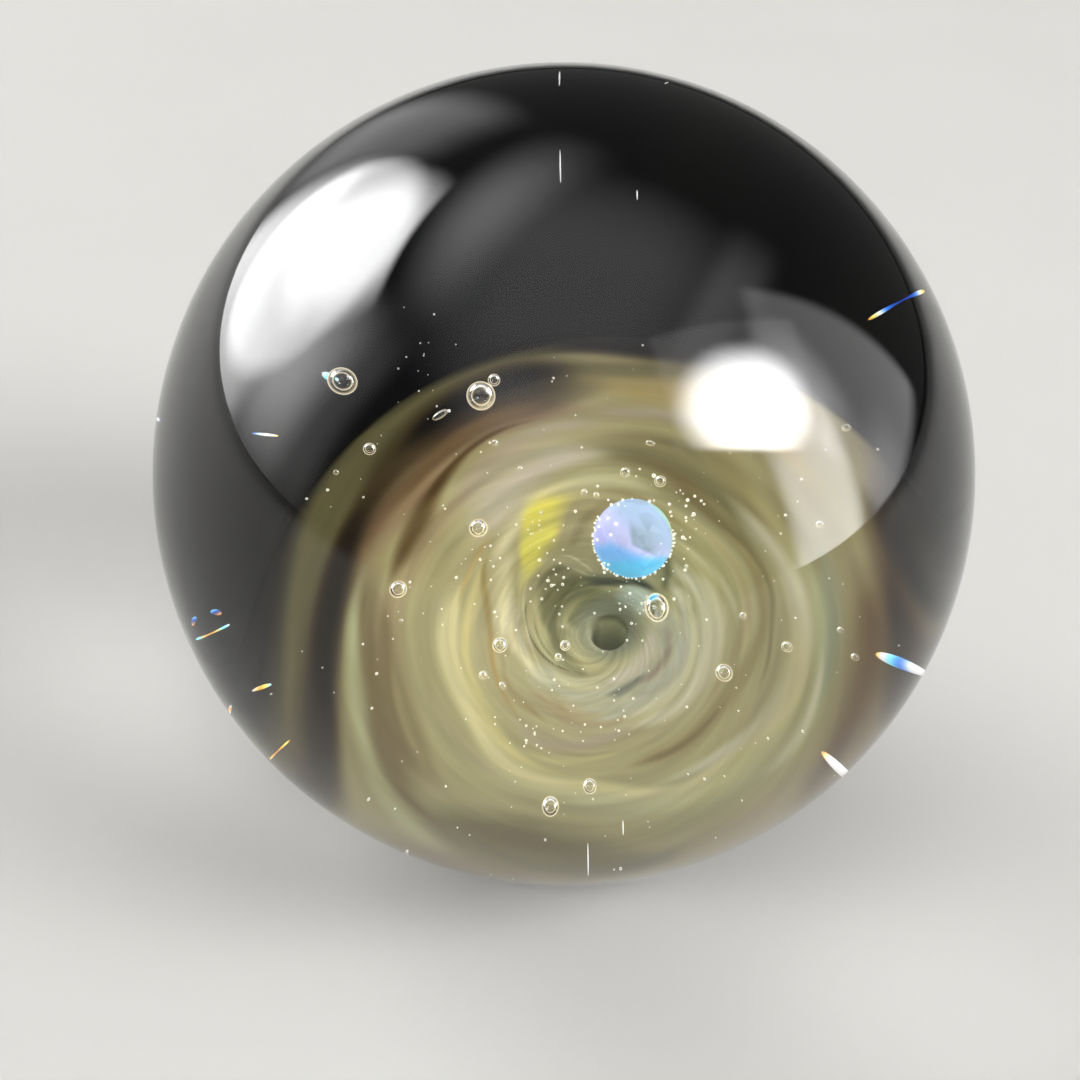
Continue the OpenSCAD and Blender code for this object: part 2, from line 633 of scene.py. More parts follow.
@dataclass(frozen=True)
class GlowingPaintFinish(Finish):
    """Painted colours broken up by a fine pattern, with a faint painted glow of their own."""

    attribute: str  # The colour attribute that holds the paint
    pattern: Pattern
    scale: float  # How fine the pattern is
    spread: Pair  # What it multiplies the paint by, at the least and at the most
    roughness: float  # How rough the surface is
    polish: float  # How strongly it mirrors
    # The glow is painted light: the piece shines though it is no lamp
    glow: float  # How strongly it shines

    def shaders(self, desk: NodeDesk) -> dict[str, Socket]:
        """Adds the paint times the pattern, on a surface with a painted glow in the same colour.

        Args:
            desk: Where the nodes are added.

        Returns:
            What the material's sockets take.
        """
        painted = desk.add("Attribute", attribute_name=self.attribute).outputs["Color"]
        kind, output = self.pattern.value
        pattern = desk.add(kind, {"Vector": desk.place(), "Scale": self.scale}).outputs[output]
        low, high = self.spread
        colour = desk.scaled(painted, desk.slide(pattern, (0.0, low), (1.0, high)))
        inputs = {"Base Color": colour, "Emission Color": colour, "Roughness": self.roughness}
        inputs |= {"Specular IOR Level": self.polish, "Emission Strength": self.glow}
        return {"Surface": desk.add("BsdfPrincipled", inputs).outputs[0]}


@dataclass(frozen=True)
class SliverFinish(GlowingPaintFinish):
    """Painted glints: the colours that stretched bubbles at the ball's edge break light into."""

    name: str = "rainbow_glint_sliver"
    attribute: str = "rainbow"
    pattern: Pattern = Pattern.GRAIN
    scale: float = 4000.0
    spread: Pair = (0.9, 1.1)
    roughness: float = 0.4
    polish: float = 0.0
    # The glints also have a painted glow: they shine a little, though they are no lamp
    glow: float = 0.6


@dataclass(frozen=True)
class OpalFinish(GlowingPaintFinish):
    """Polished opal: painted fire broken into small cells of shifted brightness."""

    name: str = "opal"
    attribute: str = "fire_colour"
    pattern: Pattern = Pattern.CELLS
    scale: float = 2600.0
    spread: Pair = (0.9, 1.12)
    roughness: float = 0.25
    polish: float = 0.1
    # The opal's painted glow: its fire shines a little by itself
    glow: float = 0.42


@dataclass(frozen=True)
class FloorFinish(Finish):
    """A pale floor, faintly mottled, with a painted shade that darkens it away from the ball."""

    name: str = "floor_card"
    tint: Triple = (178, 177, 174)  # The floor's colour near the ball, from 0 to 255
    mottle: float = 5  # By how much the mottling lightens it, from 0 to 255
    # Painted shade: the floor is painted darker far from the ball, where the lamps stand
    fade: Pair = (0.18, 0.5)  # Distances between which the floor grows darker, in metres
    far_shade_share: float = 0.35  # The share of its colour that the floor keeps past them

    def shaders(self, desk: NodeDesk) -> dict[str, Socket]:
        """Adds the mottled colour, times a painted shade that falls with the distance.

        Args:
            desk: Where the nodes are added.

        Returns:
            What the material's sockets take.
        """
        place = desk.place()
        mottling = desk.add("TexNoise", {"Vector": place, "Scale": 40.0, "Detail": 3.0})
        light = tuple(part + self.mottle for part in self.tint)
        both = (socket_colour(self.tint), socket_colour(light))
        colour = desk.tones(mottling.outputs["Fac"], (0.0, 1.0), both)
        away = desk.add("VectorMath", {0: place}, operation="LENGTH").outputs["Value"]
        near, far = self.fade
        share = desk.slide(away, (near, 1.0), (far, self.far_shade_share), soft=True)
        shaded_colour = desk.scaled(colour, share)
        inputs = {"Base Color": shaded_colour, "Roughness": 0.9, "Specular IOR Level": 0.1}
        return {"Surface": desk.add("BsdfPrincipled", inputs).outputs[0]}


# ---- the vortex's own axis


@dataclass(frozen=True)
class VortexAxis:
    """The leaning axis that the joint, the dish, the opal and the bubbles stand on."""

    lean: float = 35.0  # Degrees from upright towards the front
    turn: float = -12.0  # Degrees about the upright

    def matrix(self) -> Array:
        """Returns the 3 by 3 matrix that turns upright into the leaning axis."""
        turned = Matrix.Rotation(math.radians(self.turn), 3, "Z")
        return np.array(turned @ Matrix.Rotation(math.radians(self.lean), 3, "X"))

    def placed(self, shell: Shell) -> Shell:
        """Returns a shell that was drawn round an upright axis, set on the leaning one."""
        return shell.moved(self.matrix(), np.zeros(3))


@dataclass(frozen=True)
class JointShape:
    """The joint between the clear front and the dark back, in millimetres.

    Heights are along the vortex's axis, from the ball's centre.
    """

    ball_r: float  # The ball's radius
    dish_r: float = 9.0  # The dish's radius at its rim
    rim_cover: float = 5.8  # Glass between the dish's rim and the ball's surface
    dish_sink: float = 1.4  # Depth of the dish, from its rim to the lip of its throat
    rim_wall: float = 0.9  # Thickness of the coloured glass at the rim
    tail_cover: float = 2.4  # Dark glass behind the tip of the tail
    tail_r: float = 0.9  # Radius of the tail near its tip
    throat_r: float = 0.55  # Radius of the throat at its lip
    throat_floor: float = 1.6  # Coloured glass between the throat's end and the tail's tip
    face_bend: float = 0.6  # Power by which the face flattens towards the rim
    flare_bend: float = 2.5  # Power by which the back flares out of the tail

    @property
    def rim_z(self) -> float:
        """Height of the rim, which is the height of the joint."""
        return -math.sqrt((self.ball_r - self.rim_cover) ** 2 - self.dish_r**2)

    @property
    def tail_z(self) -> float:
        """Height of the tail's tip."""
        return -(self.ball_r - self.tail_cover)

    @property
    def throat_z(self) -> float:
        """Height of the throat's end."""
        return self.tail_z + self.throat_floor

    def face_z(self, radius: Array | float) -> Array | float:
        """Height of the dish's face: rim_z - sink (1 - share^bend) at a share of the way out."""
        share = ramp(radius, self.throat_r, self.dish_r)
        return self.rim_z - self.dish_sink * (1.0 - share**self.face_bend)

    def back_outline(self, steps: int) -> tuple[Array, Array]:
        """The dish's back, from the tail's tip out to its rim.

        At the share s of the way down from the rim's back to the tip, the radius is
        (dish_r - tail_r)(1 - s)^flare + tail_r sqrt(1 - s^2).

        Args:
            steps: The number of steps along it.

        Returns:
            The radii and the heights.
        """
        share = np.linspace(1.0, 0.0, steps + 1)
        flare = (self.dish_r - self.tail_r) * (1.0 - share) ** self.flare_bend
        radii = flare + self.tail_r * np.sqrt(np.clip(1.0 - share**2, 0.0, 1.0))
        back_z = self.rim_z - self.rim_wall
        return radii, back_z + (self.tail_z - back_z) * share

    def rim_outline(self, steps: int) -> tuple[Array, Array]:
        """The dish's rounded rim, a half circle from its back round to its face.

        Args:
            steps: The number of steps along it.

        Returns:
            The radii and the heights, without the half circle's two ends.
        """
        half = self.rim_wall / 2
        angle = np.linspace(-math.pi / 2, math.pi / 2, steps + 1)[1:-1]
        return self.dish_r + half * np.cos(angle), self.rim_z - half + half * np.sin(angle)


# ---- painting the swirl


@dataclass(frozen=True)
class Wisps:
    """Noise that runs in long threads round the vortex, as a sum of seeded waves.

    Each wave is a sine of (turns times the angle + pull times the logarithm of the radius +
    a random start). Turns is a whole number, so the waves meet after a full circle, and
    turns over pull is the slope at which the threads run inwards. Fine waves are weaker, by
    the square root of their pull.
    """

    seed: int  # Seed of the random waves
    count: int = 40  # The number of waves
    pull: Pair = (6.0, 60.0)  # The least and greatest pull
    slope: Pair = (-0.03, 0.10)  # The threads' least and greatest slope, in radii for each radian
    least_r: float = 0.05  # Radius inside which the waves stay as they are

    def at(self, radius: Array, angle: Array) -> Array:
        """Gives the noise at each point.

        Args:
            radius: Distances from the axis.
            angle: Directions about it, in radians.

        Returns:
            Values round 0, mostly between -2 and 2, with a mean square of 1.
        """
        draw = np.random.default_rng(self.seed)
        low, high = np.log(self.pull)
        pulls = np.exp(draw.uniform(low, high, self.count))
        turns = np.round(pulls * draw.uniform(*self.slope, self.count))
        starts = draw.uniform(0.0, 2 * math.pi, self.count)
        strengths = 1.0 / np.sqrt(pulls)
        depth = np.log(np.maximum(radius, self.least_r))
        total = np.zeros_like(radius)
        for pull, turn, start, strength in zip(pulls, turns, starts, strengths):
            total += strength * np.sin(turn * angle + pull * depth + start)
        return total / math.sqrt(float(np.sum(strengths**2)) / 2)


@dataclass(frozen=True)
class Stroke:
    """A brush stroke of colour that curves round the vortex."""

    tint: Tint
    # Its middle as rows of direction in degrees, distance from the axis and full width. The
    # directions rise from row to row
    path: tuple[Triple, ...]
    soft: float = 1.0  # The share of its half-width over which it fades
    strength: float = 1.0  # How much of what lies under it it covers, from 0 to 1
    end_deg: float = 20.0  # Degrees over which its ends fade, at most a third of its own length

    def cover(self, radius: Array, angle: Array) -> Array:
        """How much of each point the stroke covers.

        The middle and the width follow smooth curves through the path's rows. The cover
        falls from full to none over the soft outer share of the half-width, and over the
        stroke's two ends, unless it runs the whole way round.

        Args:
            radius: Distances from the axis.
            angle: Directions about it, in radians.

        Returns:
            Values from 0 to 1.
        """
        turn, middle, width = np.array(self.path, dtype=float).T
        along = (np.degrees(angle) - turn[0]) % 360.0 + turn[0]
        inside = along <= turn[-1]
        along = np.minimum(along, turn[-1])
        half = np.maximum(smooth_curve(along, turn, width), 1e-3) / 2
        away = np.abs(radius - smooth_curve(along, turn, middle)) / half
        edge = eased(ramp(away, 1.0, 1.0 - self.soft))
        sweep = turn[-1] - turn[0]
        fade = min(self.end_deg, sweep / 3)
        end = eased(ramp(np.minimum(along - turn[0], turn[-1] - along), 0.0, fade))
        end = np.ones_like(end) if sweep >= 360.0 else end
        return inside * end * self.strength * edge


def stroke(tint: Tint, *path: Triple, soft: float = 1.0, strength: float = 1.0) -> Stroke:
    """Makes a stroke whose path's rows are given one after another."""
    return Stroke(tint, path, soft, strength)


def outer_strokes() -> list[Stroke]:
    """The broad colours from the rim in to about 5 mm, and the dark band on the left."""
    return [
        # Ground colours
        stroke(Tint.KHAKI, (0, 8, 3.6), (180, 8, 3.6), (360, 8, 3.6), soft=0.7, strength=0.7),
        stroke(Tint.MOSS, (100, 9, 1), (125, 8.9, 2.2), (150, 8.7, 2.8), (180, 8.5, 3),
               (205, 8.7, 2.6), (228, 9, 1.2), soft=0.7, strength=0.95),
        stroke(Tint.DRAB, (165, 6.6, 0.6), (185, 6.6, 1.8), (205, 6.5, 2.2), (225, 6.7, 1.8),
               (245, 6.9, 0.8), soft=0.9, strength=0.95),
        stroke(Tint.DRAB, (172, 5.9, 0.4), (190, 5.8, 1.2), (206, 5.9, 1.6), (225, 6.1, 1.4),
               (245, 6.4, 0.5), strength=0.95),
        # Right
        stroke(Tint.GREEN_SAGE, (-95, 5.4, 0.9), (-50, 5.6, 1.6), (0, 6.3, 1.9), (40, 6.9, 1.4)),
        stroke(Tint.SEA_SAGE, (-12, 6.5, 0.4), (12, 6.8, 0.8), (28, 7.1, 0.9), (42, 7.5, 0.6)),
        stroke(Tint.BROWN, (-34, 7.4, 0.5), (-10, 7.6, 1.2), (12, 7.85, 1.6), (34, 8.4, 1.2)),
        stroke(Tint.BARK, (-25, 8.7, 0.6), (8, 8.6, 1.5), (30, 9, 1.4), (60, 9.2, 0.6)),
        stroke(Tint.UMBER, (-22, 8.5, 0.2), (-2, 8.4, 0.9), (16, 8.7, 1), (34, 8.95, 0.2)),
        # Bottom
        stroke(Tint.OLIVE, (-128, 7.1, 0.6), (-100, 7, 2), (-78, 6.9, 1.8), (-48, 6.9, 0.5)),
        stroke(Tint.DRAB, (-112, 7, 0.4), (-94, 6.8, 0.9), (-76, 6.9, 0.4), strength=0.7),
        stroke(Tint.TAN, (-60, 6.9, 0.8), (-42, 7, 1.6), (-22, 7.1, 0.9), strength=0.8),
        stroke(Tint.BROWN, (-130, 8.3, 0.6), (-100, 8, 1.3), (-60, 8, 1.1), (-35, 8.2, 0.7),
               strength=0.85),
        # Top and upper right
        stroke(Tint.KHAKI, (22, 5.6, 0.5), (45, 6, 1.3), (70, 6.4, 1.3), (92, 6.6, 0.8)),
        stroke(Tint.GOLD, (40, 7.7, 0.9), (70, 7.9, 1.3), (92, 7.8, 1.2), (112, 8.1, 0.5)),
        stroke(Tint.OLIVE, (60, 8.7, 0.7), (85, 8.4, 0.8), (105, 8.3, 0.6), (122, 8.8, 0.4)),
        stroke(Tint.UMBER, (50, 9.3, 0.9), (90, 9.1, 1.5), (120, 9.4, 1), (150, 9.7, 0.5)),
        stroke(Tint.ROSE_GREY, (70, 7, 0.5), (88, 7, 0.8), (108, 7.1, 0.5), strength=0.9),
        stroke(Tint.KHAKI, (72, 6, 0.6), (95, 6.1, 1), (120, 6.3, 0.5), strength=0.7),
        stroke(Tint.OLIVE, (70, 6.1, 0.2), (82, 6.15, 0.4), (92, 6.2, 0.2), strength=0.6),
        stroke(Tint.OLIVE, (30, 5.5, 0.8), (52, 5.6, 1.8), (72, 5.6, 2.4), (90, 5.7, 2.2),
               (112, 6, 0.8), strength=0.85),
        stroke(Tint.DRAB, (40, 5.3, 0.3), (62, 5.35, 0.6), (84, 5.5, 0.6), (106, 5.7, 0.2)),
        # Left: the pale zone, the rose brown band and the dark band outside it
        stroke(Tint.ROSE_GREY, (96, 6.6, 0.3), (116, 6.8, 0.8), (138, 6.3, 0.9), (158, 5.8, 0.4)),
        stroke(Tint.LILAC, (96, 5.7, 0.5), (116, 5.9, 1.5), (136, 5.5, 2.1), (160, 5, 0.9)),
        stroke(Tint.ROSE_BROWN, (102, 7.2, 0.3), (120, 7.4, 1.1), (137, 7.4, 1.4), (152, 7, 1.3),
               (166, 6.9, 1.2), (184, 6.8, 0.7), soft=0.9),
        stroke(Tint.TAN, (140, 6.1, 0.3), (158, 5.9, 0.7), (178, 5.7, 0.7), (196, 5.6, 0.3)),
        stroke(Tint.UMBER, (98, 7.9, 0.2), (112, 8, 1.7), (124, 8.1, 2.3), (137, 8, 2.2),
               (150, 7.8, 1.7), (163, 7.5, 1.4), (180, 7.4, 1.6), (195, 7.65, 1.8), (210, 8, 1.9),
               (222, 8.35, 1.5), (238, 8.8, 0.7), soft=0.9, strength=0.92),
        stroke(Tint.NIGHT, (104, 8.2, 0.1), (116, 8.2, 1.2), (128, 8.15, 1.4), (139, 8.05, 1.3),
               (154, 7.8, 0.1), strength=0.9),
        stroke(Tint.NIGHT, (154, 7.6, 0.1), (166, 7.45, 0.8), (180, 7.35, 1.3), (194, 7.5, 1.4),
               (208, 7.85, 1.3), (220, 8.15, 0.9), (232, 8.5, 0.1), strength=0.9),
        stroke(Tint.BROWN, (108, 7.4, 0.1), (122, 7.5, 0.5), (138, 7.35, 0.5), (154, 7.05, 0.4),
               (168, 6.9, 0.1), strength=0.8),
        stroke(Tint.BARK, (116, 7.15, 0.05), (130, 7.1, 0.25), (146, 6.75, 0.3), (158, 6.45, 0.05),
               strength=0.7),
        stroke(Tint.MOSS, (96, 8.8, 0.2), (120, 9, 0.5), (140, 9.1, 0.6), (152, 8.9, 0.8),
               (166, 8.75, 0.9), (182, 8.75, 0.9), (198, 8.85, 0.8), (214, 9, 0.4)),
        stroke(Tint.GREEN_SAGE, (172, 6.7, 0.2), (192, 6.75, 0.6), (207, 6.9, 0.7),
               (224, 7.15, 0.8), (240, 7.5, 0.9), (258, 7.8, 0.4)),
        stroke(Tint.DRAB, (184, 6.2, 0.1), (194, 6.25, 0.5), (208, 6.42, 0.6), (222, 6.7, 0.6),
               (238, 7, 0.5), (256, 7.2, 0.1), strength=0.85),
        stroke(Tint.KHAKI, (196, 5.65, 0.1), (214, 5.9, 0.5), (232, 6.2, 0.5), (248, 6.5, 0.1)),
        stroke(Tint.BARK, (134, 6.9, 0.05), (146, 6.66, 0.55), (158, 6.3, 0.8), (170, 6.05, 0.6),
               (184, 5.95, 0.05), strength=0.85),
        # The rim, which runs out into the dark
        stroke(Tint.NIGHT, (5, 9.7, 1), (30, 9.6, 1.6), (60, 9.5, 1.9), (90, 9.35, 1.9),
               (120, 9.65, 1.6), (150, 9.75, 1.5), (180, 9.6, 1.9), (210, 9.6, 1.9),
               (240, 9.7, 1.5), (270, 9.8, 1), soft=0.6),
    ]


def middle_strokes() -> list[Stroke]:
    """The cream, gold and brown bands between about 2.5 and 5.5 mm."""
    return [
        # Straw and cream that run in from the left and out again to the right
        stroke(Tint.STRAW, (150, 4.5, 0.2), (168, 4.15, 0.6), (186, 4, 0.7), (205, 3.9, 0.7),
               (225, 3.95, 0.7), (250, 4.3, 0.6), (276, 4.65, 0.2)),
        stroke(Tint.CREAM, (164, 4.8, 0.2), (184, 4.5, 0.7), (200, 4.32, 1), (216, 4.25, 1),
               (232, 4.4, 0.9), (248, 4.72, 1), (268, 5, 1), (290, 5.15, 0.6), (310, 5.4, 0.5),
               (332, 5.5, 0.6), (354, 5.85, 0.5), (374, 6.1, 0.1)),
        stroke(Tint.BONE, (-58, 5, 0.1), (-38, 5.15, 0.6), (-15, 5.6, 0.7), (8, 5.85, 0.8),
               (26, 5.95, 0.9), (48, 5.95, 0.8), (66, 5.9, 0.1)),
        stroke(Tint.BONE, (-36, 6, 0.1), (-20, 6.35, 0.7), (-2, 6.45, 0.5), (14, 6.4, 0.1),
               strength=0.7),
        stroke(Tint.AMBER, (143, 4.95, 0.1), (156, 4.75, 0.35), (170, 4.55, 0.3), (184, 4.4, 0.1),
               strength=0.8),
        stroke(Tint.IVORY, (138, 3.7, 0.1), (152, 3.6, 0.8), (166, 3.3, 1.3), (182, 2.9, 1.3),
               (196, 2.55, 1.1), (210, 2.3, 0.6), (226, 2.15, 0.4), (242, 1.95, 0.3),
               (256, 1.8, 0.1), strength=0.95),
        stroke(Tint.GOLD, (146, 4.7, 0.05), (158, 4.3, 0.34), (172, 3.75, 0.4), (186, 3.4, 0.36),
               (200, 3.26, 0.3), (216, 3.2, 0.3), (234, 3.3, 0.25), (250, 3.45, 0.05),
               strength=0.85),
        stroke(Tint.KHAKI, (206, 3, 0.1), (226, 3, 0.5), (246, 3, 0.4), (262, 3.1, 0.1)),
        # Rose grey at the bottom
        stroke(Tint.ROSE_GREY, (236, 3.5, 0.1), (254, 3.65, 0.7), (272, 3.55, 0.9), (292, 3.3, 0.8),
               (314, 3, 0.4), strength=0.85),
        stroke(Tint.STRAW, (244, 4, 0.1), (262, 4.1, 0.4), (284, 4.1, 0.4), (304, 4, 0.1),
               strength=0.6),
        # The brown arc on the right, with the dark threads in it
        stroke(Tint.KHAKI, (292, 4.55, 0.1), (306, 4.45, 0.6), (325, 4.35, 0.75), (345, 4.35, 0.7),
               (366, 4.6, 0.7), (382, 5, 0.7), (398, 5.2, 0.6), (420, 5.2, 0.3), soft=0.9,
               strength=0.95),
        stroke(Tint.DRAB, (296, 4.55, 0.05), (308, 4.44, 0.32), (320, 4.4, 0.3), (336, 4.36, 0.2),
               (352, 4.4, 0.05), strength=0.8),
        stroke(Tint.OLIVE, (348, 5.02, 0.02), (360, 5.08, 0.24), (374, 5.14, 0.3),
               (388, 5.38, 0.32), (404, 5.45, 0.34), (420, 5.4, 0.25), (438, 5.35, 0.05),
               strength=0.65),
        stroke(Tint.TAN, (330, 3.98, 0.05), (350, 3.98, 0.3), (370, 4.2, 0.35), (392, 4.55, 0.35),
               (412, 4.65, 0.3), (436, 4.7, 0.1), strength=0.7),
        # Pale bands inside it
        stroke(Tint.BONE, (-62, 3.3, 0.1), (-42, 3.3, 0.7), (-20, 3.36, 0.9), (2, 3.4, 1.1),
               (20, 3.45, 1.1), (38, 3.4, 0.9), (56, 3.2, 0.5), (66, 3.1, 0.1)),
        stroke(Tint.BONE, (-66, 2.9, 0.2), (-45, 2.82, 0.6), (-20, 2.85, 0.6), (5, 2.85, 0.6),
               (25, 2.8, 0.6), (42, 2.65, 0.1), strength=0.85),
        stroke(Tint.PALE_SAGE, (10, 4.15, 0.05), (26, 4.1, 0.3), (44, 3.95, 0.4), (60, 3.9, 0.3),
               (74, 4, 0.05), strength=0.8),
        stroke(Tint.PALE_SAGE, (-32, 2.9, 0.1), (-6, 2.95, 0.35), (20, 2.9, 0.4), (42, 2.7, 0.1)),
        stroke(Tint.CREAM, (-128, 5.2, 0.2), (-100, 5.25, 0.9), (-60, 5.5, 0.9), (-22, 5.9, 1.3),
               (2, 5.8, 0.9), (24, 5.8, 0.2), strength=0.45),
        stroke(Tint.BONE, (24, 2.85, 0.1), (38, 2.8, 0.7), (52, 2.7, 0.1)),
        # Between the pale zone and the yellow patch, and above the opal
        stroke(Tint.PALE_SAGE, (78, 4.9, 0.2), (98, 4.9, 0.7), (114, 5, 0.8), (128, 4.9, 0.3)),
        stroke(Tint.IVORY, (108, 5, 0.2), (124, 5, 0.6), (138, 4.5, 1.2), (152, 4.1, 1),
               (166, 3.9, 0.2), strength=0.9),
        stroke(Tint.KHAKI, (56, 4.35, 0.2), (76, 4.4, 0.5), (94, 4.5, 0.5), (110, 4.6, 0.1),
               strength=0.7),
    ]


def inner_strokes() -> list[Stroke]:
    """The grey and green threads round the throat, in to the lip."""
    return [
        stroke(Tint.MIST, (-150, 1.9, 1), (-110, 2, 2.2), (-50, 2, 2.8), (10, 2.1, 2.8),
               (45, 2.2, 1.4), strength=0.6),
        stroke(Tint.TAN, (-135, 2.4, 0.3), (-105, 2.5, 1), (-75, 2.7, 0.9), (-45, 2.9, 0.2),
               strength=0.75),
        stroke(Tint.MIST, (-82, 2.6, 0.1), (-62, 2.55, 0.5), (-42, 2.48, 0.6), (-20, 2.45, 0.5),
               (6, 2.5, 0.45), (26, 2.45, 0.1), strength=0.9),
        stroke(Tint.LILAC, (-70, 1.35, 0.2), (-45, 1.45, 0.6), (-15, 1.58, 0.7), (12, 1.6, 0.6),
               (30, 1.5, 0.2)),
        stroke(Tint.PALE_SAGE, (-140, 1.6, 0.1), (-112, 1.62, 0.5), (-85, 1.6, 0.6),
               (-60, 1.5, 0.2), strength=0.8),
        stroke(Tint.SLATE, (-72, 1.86, 0.1), (-58, 1.88, 0.38), (-44, 1.87, 0.46),
               (-30, 1.92, 0.34), (-16, 2.04, 0.1), strength=0.95),
        stroke(Tint.MAUVE, (-40, 2, 0.1), (-24, 2.1, 0.4), (-8, 2.14, 0.45), (6, 2.16, 0.4),
               (20, 2.1, 0.36), (34, 1.95, 0.1), strength=0.9),
        # The dark green hollow on the left, and the threads that curl out of it
        stroke(Tint.MOSS_GREY, (92, 1.7, 0.5), (112, 1.75, 1.1), (130, 1.8, 1.2), (148, 1.75, 1.3),
               (166, 1.5, 0.9), (184, 1.25, 0.5), (205, 1.15, 0.4), (228, 1.1, 0.2), soft=0.8,
               strength=0.95),
        stroke(Tint.DEEP_MOSS, (120, 2.2, 0.1), (132, 2.32, 0.4), (144, 2.3, 0.4), (158, 2.2, 0.2),
               strength=0.5),
        stroke(Tint.MOSS_GREY, (160, 1, 0.3), (185, 1.05, 0.8), (220, 1.1, 0.9), (250, 1.1, 0.7),
               (280, 1.1, 0.1), strength=0.65),
        stroke(Tint.DEEP_MOSS, (158, 2.36, 0.02), (170, 2.28, 0.12), (184, 2.1, 0.16),
               (197, 1.9, 0.16), (210, 1.72, 0.18), (224, 1.52, 0.18), (238, 1.34, 0.16),
               (254, 1.18, 0.02), strength=0.8),
        stroke(Tint.MOSS_GREY, (166, 2.02, 0.02), (180, 1.8, 0.12), (196, 1.58, 0.14),
               (212, 1.4, 0.12), (228, 1.26, 0.02), strength=0.7),
        stroke(Tint.PALE_SAGE, (140, 2.98, 0.02), (152, 2.74, 0.12), (164, 2.5, 0.14),
               (176, 2.24, 0.14), (190, 2.06, 0.14), (206, 1.96, 0.16), (222, 1.95, 0.18),
               (238, 2.02, 0.16), (252, 2.1, 0.02)),
        stroke(Tint.MIST, (158, 2.72, 0.02), (172, 2.5, 0.14), (186, 2.38, 0.16), (202, 2.28, 0.16),
               (220, 2.28, 0.02), strength=0.8),
        stroke(Tint.GREEN_SAGE, (174, 1.98, 0.02), (190, 1.76, 0.12), (206, 1.58, 0.14),
               (222, 1.46, 0.14), (240, 1.4, 0.02), strength=0.8),
        # Painted shadow of the opal on the glass round it, and the pale pool below it
        stroke(Tint.MOSS_GREY, (46, 2.5, 0.1), (54, 2.7, 0.5), (60, 3.1, 0.7), (65, 3.5, 0.8),
               (70, 4, 0.5), strength=0.7),
        stroke(Tint.OLIVE, (92, 4.2, 0.3), (104, 3.8, 0.7), (114, 3.2, 0.8), (124, 2.6, 0.5),
               strength=0.35),
        stroke(Tint.MOSS_GREY, (25, 0.95, 0.5), (50, 1, 0.9), (80, 1.1, 1.2), (110, 1.15, 1.2),
               (140, 1, 0.9), (170, 0.9, 0.4), soft=0.8, strength=0.9),
        # Painted shadow to the right of the opal
        stroke(Tint.DEEP_MOSS, (50, 2.7, 0.2), (56, 2.95, 0.7), (62, 3.1, 1.1), (70, 3.3, 0.8),
               strength=0.4),
        # Painted shadow: the dark arc right under the opal
        stroke(Tint.OPAL_SHADOW, (46, 2.35, 0.1), (60, 2.2, 0.5), (74, 2.1, 0.6), (88, 1.95, 0.65),
               (104, 1.95, 0.6), (122, 2.1, 0.1), strength=0.9),
        stroke(Tint.LILAC, (16, 2, 0.1), (30, 2.05, 0.3), (44, 2, 0.4), (56, 1.9, 0.1),
               strength=0.6),
        stroke(Tint.POOL, (34, 1.75, 0.1), (48, 1.76, 0.8), (64, 1.7, 0.95), (78, 1.6, 0.75),
               (90, 1.5, 0.1), soft=0.6, strength=0.9),
        # A bright fold left of the opal
        stroke(Tint.IVORY, (104, 2.2, 0.01), (112, 2.32, 0.07), (120, 2.5, 0.09), (128, 2.66, 0.03),
               strength=0.8),
        stroke(Tint.PALE_SAGE, (98, 2.16, 0.01), (108, 2.12, 0.07), (118, 2.2, 0.1),
               (128, 2.36, 0.02), strength=0.7),
    ]


def patch_strokes() -> list[Stroke]:
    """The lemon yellow patch, wide at its outer end and pointed at its inner one."""
    return [
        stroke(Tint.PALE_YELLOW, (104, 4.5, 0.3), (112, 4.5, 1), (122, 4.3, 2.2), (132, 4, 2.8),
               (139, 3.5, 2.1), (147, 3.1, 1.3), (158, 2.8, 0.6), (172, 2.5, 0.1), strength=0.6),
        stroke(Tint.YELLOW, (111, 4.5, 0.1), (116, 4.35, 1.1), (121, 4.2, 2), (127, 4.08, 2.6),
               (133, 3.9, 2.4), (138, 3.5, 1.85), (144, 3.2, 1.2), (150, 2.95, 0.6),
               (157, 2.75, 0.1), soft=0.7),
    ]


